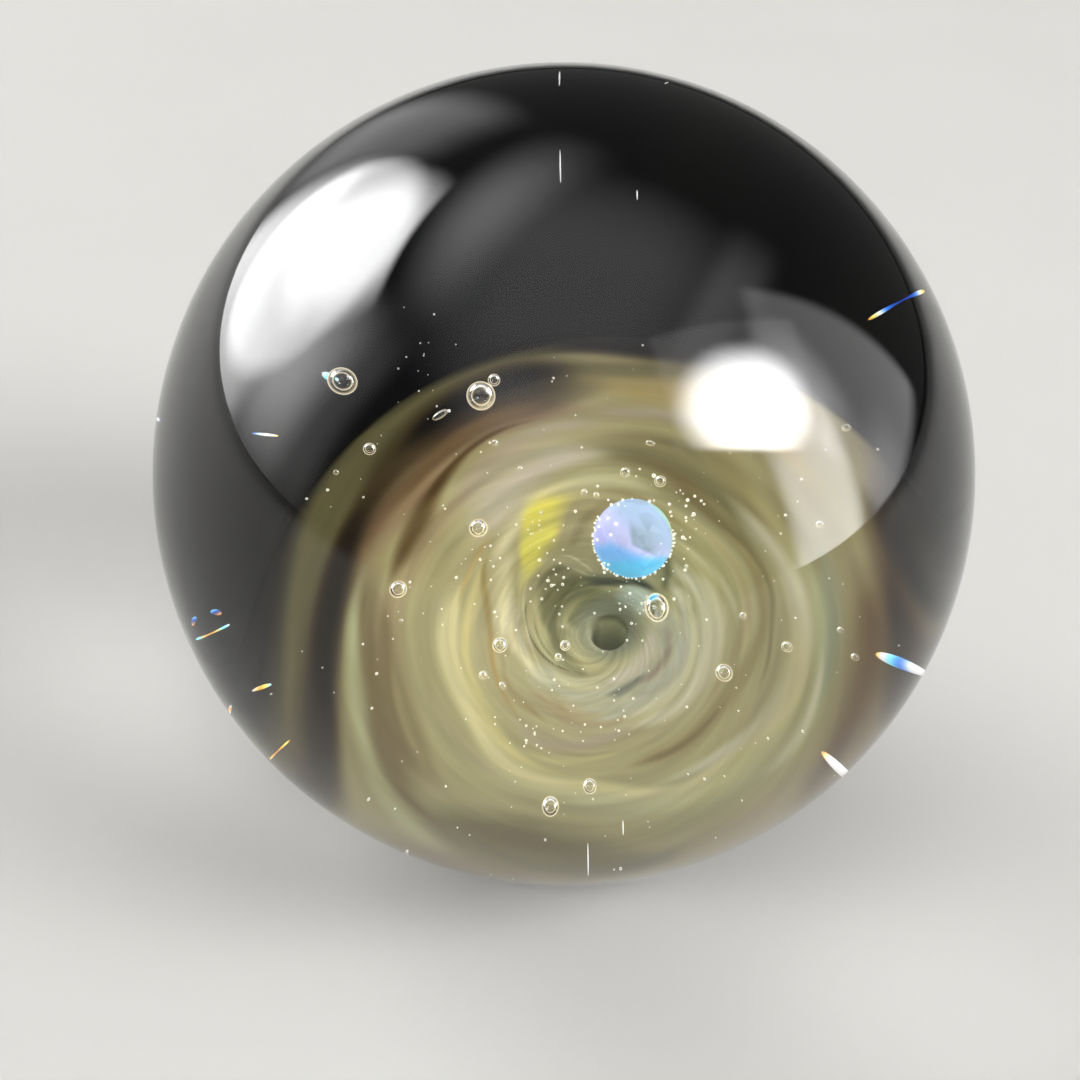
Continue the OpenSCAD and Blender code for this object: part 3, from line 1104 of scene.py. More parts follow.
@dataclass(frozen=True)
class SwirlPaint:
    """The colour of the dish's face, worked out from its strokes and threads."""

    strokes: list[Stroke]  # The strokes, the lowest first
    ground: Tint = Tint.SAGE  # The colour under them
    drift: float = 0.014  # How far the threads push the strokes about, as a share of the radius
    sway: float = 0.02  # How far slow waves push them, as a share of the radius
    fray: float = 0.12  # How much each stroke's cover varies along fine threads
    shimmer: float = 0.018  # How much the threads lighten and darken
    steep_r: Pair = (1.82, 3.38)  # Radii between which steep threads give way to level ones

    def threads(self, radius: Array, angle: Array, seed: int, pull: Pair) -> Array:
        """Threads that wind steeply near the throat and run almost round further out.

        Args:
            radius: Distances from the axis.
            angle: Directions about it, in radians.
            seed: Seed of the threads.
            pull: Their least and greatest pull.

        Returns:
            Values round 0.
        """
        steep = Wisps(seed, 50, pull, slope=(0.25, 0.5)).at(radius, angle)
        level = Wisps(seed + 1, 50, pull).at(radius, angle)
        out = ramp(radius, *self.steep_r)
        return steep * (1.0 - out) + level * out

    def colours(self, radius: Array, angle: Array) -> Array:
        """Paints each point.

        The strokes are read at the radius times e^(drift threads + sway slow waves), and the
        outcome is multiplied by 1 + shimmer times fine threads.

        Args:
            radius: Distances from the axis.
            angle: Directions about it, in radians.

        Returns:
            One row of red, green and blue from 0 to 1 for each point.
        """
        slow = Wisps(seed=61, count=12, pull=(2.0, 7.0), slope=(0.3, 1.2)).at(radius, angle)
        broad = self.threads(radius, angle, seed=11, pull=(5.0, 30.0))
        pushed = radius * np.exp(self.drift * broad + self.sway * slow)
        colour = np.tile(self.ground.seen, (radius.size, 1))
        for number, mark in enumerate(self.strokes):
            wisps = Wisps(seed=100 + number, count=16, pull=(20.0, 90.0)).at(radius, angle)
            cover = mark.cover(pushed, angle) * (1.0 + self.fray * wisps)
            colour = laid_over(colour, mark.tint, np.clip(cover, 0.0, 1.0))
        fine = self.threads(radius, angle, seed=23, pull=(24.0, 120.0))
        return np.clip(colour * (1.0 + self.shimmer * fine[:, None]), 0.0, 1.0)


# ---- the dish


@dataclass(frozen=True)
class Dish:
    """The twisted dish of coloured glass, with its throat, back and tail, in millimetres."""

    shape: JointShape
    axis: VortexAxis
    around: int = 360  # Steps around the axis
    face_steps: int = 210  # Steps from the throat's lip to the rim
    throat_steps: int = 12  # Steps down the throat
    back_steps: int = 24  # Steps along the back
    relief: float = 0.006  # Height of the threads that stand in the face
    # Distance from the lip times distance from the rim at which the threads stand fully
    relief_inset: float = 4.0
    throat_shift: Pair = (0.26, 0.5)  # How far the throat is pulled off the axis
    shift_reach: float = 1.6  # Distance over which that pull dies away
    twist: float = 2.5  # How steeply the threads wind into the throat, in radians
    glass_lift: Triple = (1.06, 1.03, 0.98)  # What the painted light values are multiplied by
    lift_r: float = 4.5  # The radius at which they are multiplied by just that
    # Painted shade: the paint is darker lower down and further out, where more light falls on the
    # dish
    painted_shade_tilt: float = 0.045  # How much weaker they get lower down, for each millimetre
    painted_shade_spread: float = 0.06  # How much weaker they get further out, for each millimetre

    def outline(self) -> tuple[Array, Array]:
        """The whole outline, from the tail's tip out, round the rim, in and down the throat.

        At the share s of the way down the throat, its radius is
        throat_r (1 - s / 2) sqrt(1 - s^6).

        Returns:
            The radii and the heights.
        """
        shape = self.shape
        back_r, back_z = shape.back_outline(self.back_steps)
        rim_r, rim_z = shape.rim_outline(steps=6)
        face_r = np.linspace(shape.dish_r, shape.throat_r, self.face_steps + 1)
        share = np.linspace(0.0, 1.0, self.throat_steps + 1)[1:]
        throat_r = shape.throat_r * (1.0 - 0.5 * share) * np.sqrt(1.0 - share**6)
        lip_z = shape.face_z(shape.throat_r)
        throat_z = lip_z + (shape.throat_z - lip_z) * share
        radii = np.concatenate([back_r, rim_r, face_r, throat_r])
        heights = np.concatenate([back_z, rim_z, shape.face_z(face_r), throat_z])
        radii[[0, -1]] = 0.0
        return radii, heights

    def warp(self, shell: Shell) -> Array:
        """Raises the threads in the face and pulls the throat off the axis.

        The face is lowered by relief times (1 + the threads' noise) / 2, less towards rim
        and lip. The pull falls as exp(-(r / reach)^2) over the face, and evenly down the
        throat.

        Args:
            shell: The dish round its upright axis, which is changed in place.

        Returns:
            How deep each vertex lies in the throat, from 0 at the lip to 1 at its end.
        """
        shape = self.shape
        radius, angle = shell.polar()
        z = shell.points[:, 2]
        lip_z = shape.face_z(shape.throat_r)
        on_face = np.abs(z - shape.face_z(radius)) < HAIR
        in_throat = (radius < shape.throat_r + HAIR) & (z > shape.throat_z - HAIR) & ~on_face
        depth = ramp(z, lip_z, shape.throat_z) * in_throat
        inset = (radius - shape.throat_r) * (shape.dish_r - radius)
        fade = ramp(inset, 0.0, self.relief_inset) * on_face
        threads = Wisps(seed=5, pull=(6.0, 30.0)).at(radius, angle)
        shell.points[:, 2] -= self.relief * (0.5 + 0.5 * threads) * fade
        pull = np.exp(-((radius / self.shift_reach) ** 2)) * (1.0 - depth)
        pull *= on_face | in_throat
        shell.points[:, :2] += np.array(self.throat_shift) * pull[:, None]
        return depth

    def build(self) -> Piece:
        """Builds the dish and paints it.

        Its light values are multiplied by glass_lift, and by a painted shade of e^(tilt y - spread
        (r - lift_r)).

        Returns:
            The finished piece.
        """
        shell = turned_shell(*self.outline(), self.around)
        depth = self.warp(shell)
        radius, angle = shell.polar()
        strokes = outer_strokes() + middle_strokes() + inner_strokes() + patch_strokes()
        colours = SwirlPaint(strokes).colours(radius, angle)
        colours = self.with_throat(colours, shell.points, depth)
        piece = self.axis.placed(shell).to_object("vortex_dish")
        # Painted shade, darker lower down and further out, against the stronger light there
        tilt = self.painted_shade_tilt * shell.points[:, 1] - self.painted_shade_spread * (radius - self.lift_r)
        paint(piece, "swirl_colour", colours, np.array(self.glass_lift) * np.exp(tilt)[:, None])
        stream = self.stream(radius, angle).astype(np.float32)
        layer = piece.data.attributes.new("swirl_stream", "FLOAT_VECTOR", "POINT")
        layer.data.foreach_set("vector", stream.ravel())
        return piece

    def stream(self, radius: Array, angle: Array) -> Array:
        """Gives each point the place in the noise from which its threads are taken.

        The place is (a cos w, a sin w, b). The winding w is the angle plus the twist times
        the logarithm of the radius. Near the throat a is large and b grows slowly, so that
        the threads run inwards. Further out a is small and b grows fast, so that they run
        round, on circles that are slightly pressed and wander a little in and out.

        Args:
            radius: Distances from the axis.
            angle: Directions about it, in radians.

        Returns:
            One row of three numbers for each point.
        """
        pressed = 0.06 * np.sin(angle + 0.7) + 0.02 * np.sin(3 * angle + 2.0)
        radius = radius * (1.0 + pressed)
        wander = 0.07 * np.sin(5 * angle + 1.7 * radius)
        radius = radius + wander * ramp(radius, 2.0, 3.0)
        out = eased(ramp(radius, 1.6, 3.4))
        twist = self.twist * (1.0 - 0.75 * out)
        winding = angle + twist * np.log(np.maximum(radius, 0.3))
        wide = 1.5 * (1.0 - out) + 0.42 * out
        past = np.maximum(radius - 2.5, 0.0)
        deep = 0.25 * radius + 1.35 * past / (1.0 + 0.12 * past) * out
        return round_axis(wide, winding, deep)

    def with_throat(self, colours: Array, points: Array, depth: Array) -> Array:
        """Lays on the lip's grey, a painted highlight crescent and the colour in the throat's
        depth.

        The crescent's cover falls as exp(-(away / width)^2), and it fades out round the lip
        as 1.6 times the cosine of the turn from its brightest direction, less 0.3.

        Args:
            colours: The painted colours, one row for each vertex.
            points: The vertices' places, round the upright axis.
            depth: How deep each vertex lies in the throat.

        Returns:
            The colours with the throat laid on.
        """
        dx, dy, _ = (points - np.array([*self.throat_shift, 0.0])).T
        out = np.hypot(dx, dy)
        lip = 0.85 * ramp(out, 1.25, 0.75)
        lit_side = np.cos(np.arctan2(dy, dx) - math.radians(215)) * 1.6 - 0.3
        # Painted highlight: a bright crescent on the lip's lit side
        crescent = 0.35 * np.exp(-(((out - 0.66) / 0.09) ** 2)) * np.clip(lit_side, 0.0, 1.0)
        colours = laid_over(laid_over(colours, Tint.LIP, lip), Tint.PALE_SAGE, crescent)
        # Painted light: the throat's depth is painted paler than the glass, to offset the shade
        # deep in it
        return laid_over(colours, Tint.THROAT_PAINTED_PALE, ramp(out, 0.56, 0.46) * (depth > 0))

    def dress(self, piece: Piece) -> None:
        """Gives the dish its glass and lets it stand for the coloured nodes.

        Args:
            piece: The dish.
        """
        piece.data.materials.append(SwirlGlassFinish().material())
        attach(piece, "root")
        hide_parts("vortex", "brown_streaks", "cream_streaks", "yellow_patch")


# ---- the dark back


@dataclass(frozen=True)
class DarkBack:
    """The near-black glass behind the joint, just under the surface, in millimetres."""

    shape: JointShape
    axis: VortexAxis
    skin: float = 0.05  # Clear glass left over it
    gap: float = 0.02  # Room left round the dish's back
    around: int = 240  # Steps around the axis
    steps: int = 60  # Steps along each stretch of its outline

    def build(self) -> Piece:
        """Builds the back: a cap of the ball with a hollow for the dish.

        The outline runs from the cap's pole out along the ball to the joint, in along the
        joint to the dish's rim, and down the dish's back to its tail.

        Returns:
            The finished piece.
        """
        shape = self.shape
        outer_r = shape.ball_r - self.skin
        edge = math.asin(-shape.rim_z / outer_r)
        latitude = np.linspace(-math.pi / 2, -edge, self.steps + 1)
        cap_r, cap_z = outer_r * np.cos(latitude), outer_r * np.sin(latitude)
        rim = shape.dish_r + shape.rim_wall / 2 + self.gap
        flat_r = np.linspace(cap_r[-1], rim, self.steps + 1)[1:]
        flat_z = np.full_like(flat_r, shape.rim_z)
        back_r, back_z = shape.back_outline(self.steps)
        radii = np.concatenate([cap_r, flat_r, back_r[::-1] + self.gap])
        heights = np.concatenate([cap_z, flat_z, back_z[::-1] - self.gap])
        radii[[0, -1]] = 0.0
        return self.axis.placed(turned_shell(radii, heights, self.around)).to_object("dark_glass")

    def dress(self, piece: Piece) -> None:
        """Gives the back its glass and lets it stand for its node.

        Args:
            piece: The back.
        """
        piece.data.materials.append(BlackGlassFinish().material())
        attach(piece, "root")
        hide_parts("dark_back")


# ---- the opal


@dataclass(frozen=True)
class FireSheet:
    """A sheet of one colour in the opal, bounded by flat cuts through it."""

    fire: Fire
    # For each cut: the side that the sheet fills, as right, up and towards the eye, how far the
    # cut lies from the middle and over what distance the colour comes in, in radii
    cuts: tuple[tuple[Triple, float, float], ...]
    strength: float = 1.0  # How much of what lies under it it covers

    def cover(self, facing: Array) -> Array:
        """How much of each point of the bead the sheet covers.

        Each cut's share is eased from 0 at the cut to 1 where the colour is in, and the
        cover is the strength times all the shares.

        Args:
            facing: One row of right, up and towards the eye for each point, in radii.

        Returns:
            Values from 0 to 1.
        """
        total = np.full(len(facing), self.strength)
        for towards, edge, soft in self.cuts:
            way = np.array(towards) / np.linalg.norm(towards)
            total = total * eased(ramp(facing @ way, edge, edge + soft))
        return total


@dataclass(frozen=True)
class Opal:
    """The opal bead that floats in front of the dish."""

    shape: JointShape
    axis: VortexAxis
    across: float = 2.4  # Its diameter, in millimetres
    out: float = 2.65  # Its distance from the vortex's axis
    turn: float = 75.0  # Its direction about the axis, in degrees
    lift: float = 0.6  # Clear glass between it and the dish
    # The side from which its fire shows, in the vortex's own directions
    eye: Triple = (0.20, -0.38, 0.90)
    up: Triple = (-0.17, 0.84, 0.51)  # The direction that looks upright from that side

    def centre(self) -> Array:
        """The bead's centre, round the upright axis."""
        height = self.shape.face_z(self.out) + self.lift + self.across / 2
        return round_axis(self.out, math.radians(self.turn), height)

    def seen_axes(self) -> Array:
        """Gives the directions in which the fire is laid out.

        Returns:
            Rows of right, up and towards the eye, in the vortex's own directions.
        """
        eye = np.array(self.eye) / np.linalg.norm(self.eye)
        right = np.cross(np.array(self.up), eye)
        right /= np.linalg.norm(right)
        return np.stack([right, np.cross(eye, right), eye])

    def sheets(self) -> list[FireSheet]:
        """The fire's sheets, the lowest first."""
        return [
            FireSheet(Fire.ICE, (((0.6, 0.8, 0.0), -0.05, 0.55),)),
            FireSheet(Fire.STEEL, (((1.0, 0.15, 0.0), -0.12, 0.14),
                                   ((0.41, 0.91, 0.0), -0.21, 0.06),
                                   ((0.0, -1.0, 0.0), -0.6, 0.5),
                                   ((-1.0, 0.0, 0.0), -0.9, 0.5))),
            FireSheet(Fire.SEA_GREEN, (((0.75, 0.6, -0.3), 0.66, 0.25),), 0.85),
            FireSheet(Fire.LEMON, (((0.93, 0.25, -0.25), 0.86, 0.06),), 0.7),
            FireSheet(Fire.DEEP_AZURE, (((-0.41, -0.91, 0.0), 0.2, 0.3),)),
            FireSheet(Fire.AZURE, (((0.1, -0.99, 0.0), 0.42, 0.28),)),
            FireSheet(Fire.VIOLET, (((-1.0, 0.0, 0.0), 0.5, 0.3), ((0.0, 1.0, 0.0), -0.35, 0.3))),
        ]

    def build(self) -> Piece:
        """Builds the bead and paints its fire.

        Returns:
            The finished piece.
        """
        shell = ball_shell(self.across / 2, around=140, levels=100)
        facing = (shell.points / (self.across / 2)) @ self.seen_axes().T
        colour = np.tile(Fire.LAVENDER.seen, (len(facing), 1))
        for sheet in self.sheets():
            colour = laid_over(colour, sheet.fire, sheet.cover(facing))
        bead = shell.moved(np.eye(3), self.centre())
        piece = self.axis.placed(bead).to_object("opal_bead")
        paint(piece, "fire_colour", colour)
        return piece

    def dress(self, piece: Piece) -> None:
        """Gives the bead its polish and lets it stand for its node.

        Args:
            piece: The bead.
        """
        piece.data.materials.append(OpalFinish().material())
        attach(piece, "root")
        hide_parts("opal")


# ---- the bubbles


@dataclass(frozen=True)
class Bubble:
    """One air bubble that shows singly, in millimetres."""

    out: float  # Its distance from the vortex's axis
    turn: float  # Its direction about the axis, in degrees
    across: float  # Its diameter
    lift: float = 0.2  # Clear glass between the joint and the bubble
    stretch: float = 1.0  # How many times longer than wide it is, round the axis


def single_bubbles() -> list[Bubble]:
    """The bubbles that are large enough to be told apart."""
    return [
        Bubble(10.5, 147, 0.75), Bubble(8.0, 129, 0.85), Bubble(8.7, 153, 0.35),
        Bubble(4.6, 153, 0.55), Bubble(5.9, 183, 0.50), Bubble(2.9, 211, 0.45),
        Bubble(4.4, 349, 0.50), Bubble(6.1, 273, 0.50), Bubble(5.4, 284, 0.40),
        Bubble(5.8, 5, 0.30), Bubble(4.9, 93, 0.30), Bubble(4.9, 80, 0.35),
        Bubble(2.0, 20, 0.72, stretch=1.25), Bubble(8.4, 125, 0.36), Bubble(9.0, 160, 0.14),
        Bubble(8.2, 138, 0.20, stretch=2.6), Bubble(3.7, 222, 0.25), Bubble(1.2, 242, 0.31),
        Bubble(1.6, 245, 0.22), Bubble(4.5, 15, 0.21), Bubble(4.1, 103, 0.19),
        Bubble(7.1, 12, 0.16), Bubble(7.5, 6, 0.18), Bubble(7.2, 39, 0.22),
        Bubble(9.2, 55, 0.20), Bubble(6.6, 131, 0.20), Bubble(5.5, 128, 0.17),
        Bubble(3.9, 128, 0.13), Bubble(4.2, 108, 0.22), Bubble(3.4, 232, 0.18, stretch=1.5),
        Bubble(5.7, 192, 0.12), Bubble(6.0, 88, 0.16, stretch=1.8), Bubble(3.3, 45, 0.13),
    ]


# Pinpoints on the opal's face: right and up in its radii, then the diameter
FACE_SPECKS = (
    (-0.41, 0.34, 0.14), (-0.54, 0.07, 0.12), (-0.61, 0.48, 0.12), (-0.82, 0.45, 0.12),
    (-0.25, 0.93, 0.12), (-0.36, 0.82, 0.12), (-0.52, 0.80, 0.14), (-0.87, -0.05, 0.12),
    (-0.84, 0.27, 0.10), (0.70, -0.14, 0.08), (-0.93, 0.18, 0.10), (-0.60, -0.66, 0.10),
    (-0.70, -0.62, 0.09), (0.40, 0.90, 0.13), (-0.02, 0.98, 0.07), (-0.20, 0.80, 0.06),
)

# Pinpoints round the opal: right, up and towards the eye from its centre, then the diameter
NEAR_SPECKS = (
    (0.20, 2.10, -0.3, 0.09), (0.63, 1.90, -0.3, 0.17), (1.64, 1.17, -0.3, 0.14),
    (1.59, 0.99, -0.4, 0.11), (1.82, 0.74, -0.3, 0.16), (2.04, 1.15, -0.3, 0.11),
    (2.12, 1.05, -0.4, 0.10), (1.85, 1.29, -0.2, 0.11), (1.10, 1.04, -0.3, 0.12),
    (1.13, 0.81, -0.3, 0.10), (1.16, 0.68, -0.4, 0.09), (1.59, 0.64, -0.3, 0.11),
    (1.60, 0.53, -0.3, 0.09), (1.50, 0.04, -0.3, 0.15), (1.89, 0.31, -0.4, 0.07),
    (1.55, -0.94, -0.3, 0.12), (0.90, -1.22, -0.3, 0.11), (1.52, -0.60, -0.4, 0.08),
    (1.22, -1.80, -0.3, 0.12), (0.26, -1.95, -0.5, 0.11), (0.41, -1.73, -0.5, 0.09),
    (-0.39, -2.13, -0.6, 0.11), (-0.05, -2.53, -0.6, 0.11), (-1.16, -2.25, -0.6, 0.10),
    (-0.19, -3.02, -0.6, 0.10), (0.26, -3.02, -0.6, 0.09), (0.96, -3.90, -0.6, 0.11),
    (1.51, -3.68, -0.5, 0.11), (1.28, 0.16, -0.3, 0.08), (1.25, -0.12, -0.3, 0.09),
    (1.10, -0.52, -0.3, 0.12), (-0.75, 1.16, -0.2, 0.10), (-1.75, 0.80, -0.3, 0.12),
    (1.42, 1.46, -0.3, 0.07), (1.50, 1.36, -0.3, 0.06), (1.30, 1.40, -0.3, 0.06),
)

# Pinpoints left of the throat: right and up from the axis, then the diameter
THROAT_SPECKS = (
    (-2.20, 1.86, 0.13), (-2.12, 1.38, 0.09), (-1.81, 1.31, 0.12), (-1.59, 1.24, 0.08),
    (-1.37, 1.53, 0.11), (-1.31, 1.83, 0.08), (-1.35, 1.32, 0.12), (-1.93, 2.56, 0.09),
    (-2.24, 0.93, 0.10), (-2.14, 0.54, 0.09), (-1.23, 0.42, 0.10), (-1.21, 0.67, 0.09),
    (-1.72, 1.69, 0.08), (-1.66, 1.20, 0.13), (-1.45, 1.12, 0.07), (-1.84, 0.72, 0.12),
)


@dataclass(frozen=True)
class Swarm:
    """A cloud of pinpoint bubbles, drawn at random round one place, in millimetres."""

    out: float  # The place's distance from the vortex's axis
    turn: float  # Its direction about the axis, in degrees
    spread: float  # How far the bubbles stray from it
    count: int  # The number of bubbles
    across: Pair  # Their least and greatest diameter
    seed: int  # Seed of their places


def drawn(draw: np.random.Generator, span: Pair, count: int, power: float = 1.0) -> Array:
    """Draws values between two others: low + (high - low) u^power, with an even random u.

    Args:
        draw: The source of random numbers.
        span: The least and the greatest value.
        count: The number of values.
        power: How strongly they crowd towards the least one.

    Returns:
        The values.
    """
    low, high = span
    return low + (high - low) * draw.uniform(0.0, 1.0, count) ** power


@dataclass(frozen=True)
class Bubbles:
    """All the air bubbles, as walls of hollows in the clear glass, in millimetres."""

    shape: JointShape
    opal: Opal
    singles: list[Bubble]
    specks: int = 230  # The number of pinpoint bubbles along the joint
    speck_out: Pair = (1.0, 9.4)  # Their least and greatest distance from the axis
    speck_across: Pair = (0.03, 0.10)  # Their least and greatest diameter
    speck_lift: Pair = (0.1, 1.3)  # How far in front of the joint they lie
    swarm_lift: Pair = (0.1, 0.5)  # How far in front of it those of the clouds lie
    throat_lift: float = 0.3  # How far in front of the dish those near the throat lie
    necklace: int = 50  # The number of bubbles on the opal's rim
    necklace_deg: Pair = (152.0, 372.0)  # Where they start and end, in degrees from the right
    necklace_across: Pair = (0.045, 0.085)  # Their least and greatest diameter
    opal_gap: float = 0.004  # Clear glass between the opal and the bubbles on it
    listed_share: float = 0.8  # What the listed pinpoints' diameters are multiplied by
    seed: int = 7  # Seed of the pinpoints' places

    def single_walls(self) -> list[Shell]:
        """The larger bubbles' walls, with faces that point into the air."""
        return [self.single_wall(bubble) for bubble in self.singles]

    def pinpoint_walls(self) -> list[Shell]:
        """The pinpoints' walls, with faces that point into the air.

        Returns:
            One small shell for each.
        """
        walls = self.speck_walls(*self.joint_specks())
        for swarm in self.swarms():
            walls += self.speck_walls(*self.swarm_specks(swarm))
        walls += self.speck_walls(*self.throat_specks())
        return walls + self.speck_walls(*self.opal_specks())

    def single_wall(self, bubble: Bubble) -> Shell:
        """The wall of one larger bubble.

        Args:
            bubble: The bubble.

        Returns:
            Its shell, round the upright axis.
        """
        turn = math.radians(bubble.turn)
        height = self.shape.rim_z + bubble.lift + bubble.across / 2
        wall = ball_shell(bubble.across / 2, around=28, levels=16).flipped()
        wall.points[:, 1] *= bubble.stretch
        place = round_axis(bubble.out, turn, height)
        return wall.moved(np.array(Matrix.Rotation(turn, 3, "Z")), place)

    def speck_walls(self, places: Array, across: Array) -> list[Shell]:
        """The walls of pinpoint bubbles.

        Args:
            places: Their centres, one row each.
            across: Their diameters.

        Returns:
            One small shell for each.
        """
        unit = ball_shell(1.0, around=10, levels=6).flipped()
        pairs = zip(across, places)
        return [Shell(unit.points * size / 2 + place, unit.faces) for size, place in pairs]

    def joint_specks(self) -> tuple[Array, Array]:
        """Pinpoints over the whole joint, out to a little past the dish.

        Most are small and lie close to the joint.

        Returns:
            Their centres and their diameters.
        """
        draw = np.random.default_rng(self.seed)
        out = drawn(draw, self.speck_out, self.specks, 0.9)
        turn = drawn(draw, (0.0, 2 * math.pi), self.specks)
        across = drawn(draw, self.speck_across, self.specks, 2.5)
        lift = drawn(draw, self.speck_lift, self.specks, 2.0)
        return round_axis(out, turn, self.shape.rim_z + lift), across

    def swarms(self) -> list[Swarm]:
        """The clouds: beside the throat, right of the opal, and over the patch and the bands."""
        return [
            Swarm(2.2, 142, 0.42, 8, (0.04, 0.08), 31),
            Swarm(4.2, 64, 0.42, 8, (0.03, 0.07), 32),
            Swarm(3.7, 134, 0.35, 8, (0.04, 0.08), 34),
            Swarm(4.0, 160, 0.35, 9, (0.04, 0.10), 35),
            Swarm(3.9, 258, 0.50, 14, (0.04, 0.09), 36),
            Swarm(3.5, 292, 0.45, 12, (0.04, 0.09), 37),
            Swarm(1.3, 60, 0.30, 9, (0.03, 0.07), 38),
            Swarm(10.2, 134, 0.50, 10, (0.03, 0.06), 39),
        ]

    def swarm_specks(self, swarm: Swarm) -> tuple[Array, Array]:
        """Pinpoints of one cloud.

        Args:
            swarm: The cloud.

        Returns:
            Their centres and their diameters.
        """
        draw = np.random.default_rng(swarm.seed)
        middle = round_axis(swarm.out, math.radians(swarm.turn), self.shape.rim_z)
        x = middle[0] + draw.normal(0.0, swarm.spread, swarm.count)
        y = middle[1] + draw.normal(0.0, swarm.spread, swarm.count)
        z = middle[2] + drawn(draw, self.swarm_lift, swarm.count)
        return np.stack([x, y, z], -1), drawn(draw, swarm.across, swarm.count, 1.6)

    def throat_specks(self) -> tuple[Array, Array]:
        """The pinpoints left of the throat, just in front of the dish.

        Returns:
            Their centres and their diameters.
        """
        x, y, across = np.array(THROAT_SPECKS).T
        height = self.shape.face_z(np.hypot(x, y)) + self.throat_lift
        return np.stack([x, y, height], -1), across * self.listed_share

    def necklace_specks(self) -> tuple[Array, Array]:
        """The necklace that clings to the opal's rim, a little to the eye's side of it.

        Returns:
            Directions from the opal's centre, as right, up and towards the eye, and the
            bubbles' diameters.
        """
        draw = np.random.default_rng(self.seed + 1)
        side = np.radians(np.linspace(*self.necklace_deg, self.necklace))
        side += np.radians(draw.normal(0.0, 1.6, self.necklace))
        near = draw.normal(0.06, 0.05, self.necklace)
        ring = round_axis(np.sqrt(1.0 - near**2), side, near)
        return ring, drawn(draw, self.necklace_across, self.necklace)

    def opal_specks(self) -> tuple[Array, Array]:
        """The necklace, the bubbles on the opal's face and those round the opal.

        Returns:
            Their centres and their diameters.
        """
        ring, ring_across = self.necklace_specks()
        right, up, face_across = np.array(FACE_SPECKS).T
        face = np.stack([right, up, np.sqrt(1.0 - right**2 - up**2)], -1)
        round_it = np.array(NEAR_SPECKS)
        on_it = np.concatenate([ring, face])
        on_across = np.concatenate([ring_across, face_across * self.listed_share])
        on_it *= (self.opal.across / 2 + on_across / 2 + self.opal_gap)[:, None]
        places = np.concatenate([on_it, round_it[:, :3]])
        across = np.concatenate([on_across, round_it[:, 3] * self.listed_share])
        return self.opal.centre() + places @ self.opal.seen_axes(), across


# ---- painted glints of stretched bubbles


@dataclass(frozen=True)
class Sliver:
    """A painted glint near the ball's edge, in a stretched bubble's colours, in millimetres."""

    start: Pair  # Its inner end: distance from the vortex's axis and direction in degrees
    end: Pair  # Its outer end, in the same way
    lift: float  # Its height above the joint
    across: float  # Its greatest width
    bands: tuple[Glint, ...]  # Its colours, from the inner end to the outer one

    def bead(self) -> Shell:
        """A ball of radius 1, which is stretched into the sliver."""
        return ball_shell(1.0, around=16, levels=24)

    def shell(self, joint_z: float) -> Shell:
        """A long bead between the two ends, wide in the middle and pointed at both.

        Args:
            joint_z: The joint's height.

        Returns:
            The bead, round the upright axis.
        """
        places = np.array([self.start, self.end])
        ends = round_axis(places[:, 0], np.radians(places[:, 1]), joint_z + self.lift)
        along = ends[1] - ends[0]
        turn = np.array(Vector((0.0, 0.0, 1.0)).rotation_difference(Vector(along)).to_matrix())
        bead = self.bead()
        bead.points *= np.array([self.across / 2, self.across / 2, np.linalg.norm(along) / 2])
        return bead.moved(turn, (ends[0] + ends[1]) / 2)

    def colours(self) -> Array:
        """The bands, blended into each other from end to end of the bead.

        Returns:
            One row of red, green and blue from 0 to 1 for each vertex.
        """
        along = self.bead().points[:, 2] * 0.5 + 0.5
        stops = np.linspace(0.0, 1.0, len(self.bands))
        tints = np.array([band.seen for band in self.bands])
        return np.stack([np.interp(along, stops, part) for part in tints.T], -1)


@dataclass(frozen=True)
class Slivers:
    """All the painted glints, as one piece."""

    shape: JointShape
    axis: VortexAxis

    def slivers(self) -> list[Sliver]:
        """Lists the painted glints.

        Returns:
            Those on the right first.
        """
        orange, yellow, white = Glint.ORANGE, Glint.YELLOW, Glint.WHITE
        cyan, blue, deep = Glint.CYAN, Glint.BLUE, Glint.DEEP_BLUE
        return [
            Sliver((11.2, 65.0), (11.52, 64.6), 1.0, 0.1, (orange, yellow, white, blue, deep)),
            Sliver((8.25, 4.8), (9.25, 3.7), 1.0, 0.3, (orange, white, cyan, blue, white, white)),
            Sliver((7.65, -17.3), (8.85, -19.2), 0.3, 0.26, (orange, white, white, white, yellow)),
            Sliver((9.68, -170.5), (9.8, -169.9), 0.2, 0.06, (white, cyan, orange)),
            Sliver((9.97, -173.0), (9.86, -172.0), 0.3, 0.06, (cyan, deep, orange)),
            Sliver((8.88, -158.1), (9.16, -158.4), 0.25, 0.09, (cyan, yellow, orange, white)),
            Sliver((8.66, -147.3), (8.78, -147.0), 0.2, 0.05, (orange, yellow, orange)),
            Sliver((10.68, 159.0), (11.12, 160.2), 0.3, 0.07, (yellow, white, white, blue)),
            Sliver((10.72, 147.3), (11.05, 147.6), 0.3, 0.2, (white, cyan, white)),
            Sliver((13.1, 108.9), (13.6, 108.8), 0.3, 0.03, (white, white)),
            Sliver((12.66, 99.9), (12.85, 100.1), 0.3, 0.03, (white, white)),
            Sliver((6.98, -76.5), (7.96, -76.3), 0.3, 0.03, (white, white)),
            Sliver((6.42, -67.3), (6.85, -67.8), 0.3, 0.03, (white, white)),
        ]

    def build(self) -> Piece:
        """Builds the slivers and paints their bands.

        Returns:
            The finished piece.
        """
        slivers = self.slivers()
        shells = [self.axis.placed(sliver.shell(self.shape.rim_z)) for sliver in slivers]
        piece = shells[0].joined(shells[1:]).to_object("rainbow_glint_slivers")
        paint(piece, "rainbow", np.concatenate([sliver.colours() for sliver in slivers]))
        return piece

    def dress(self, piece: Piece) -> None:
        """Gives the slivers their painted glint colours.

        Args:
            piece: The slivers.
        """
        piece.data.materials.append(SliverFinish().material())
        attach(piece, "root")


# ---- the clear ball


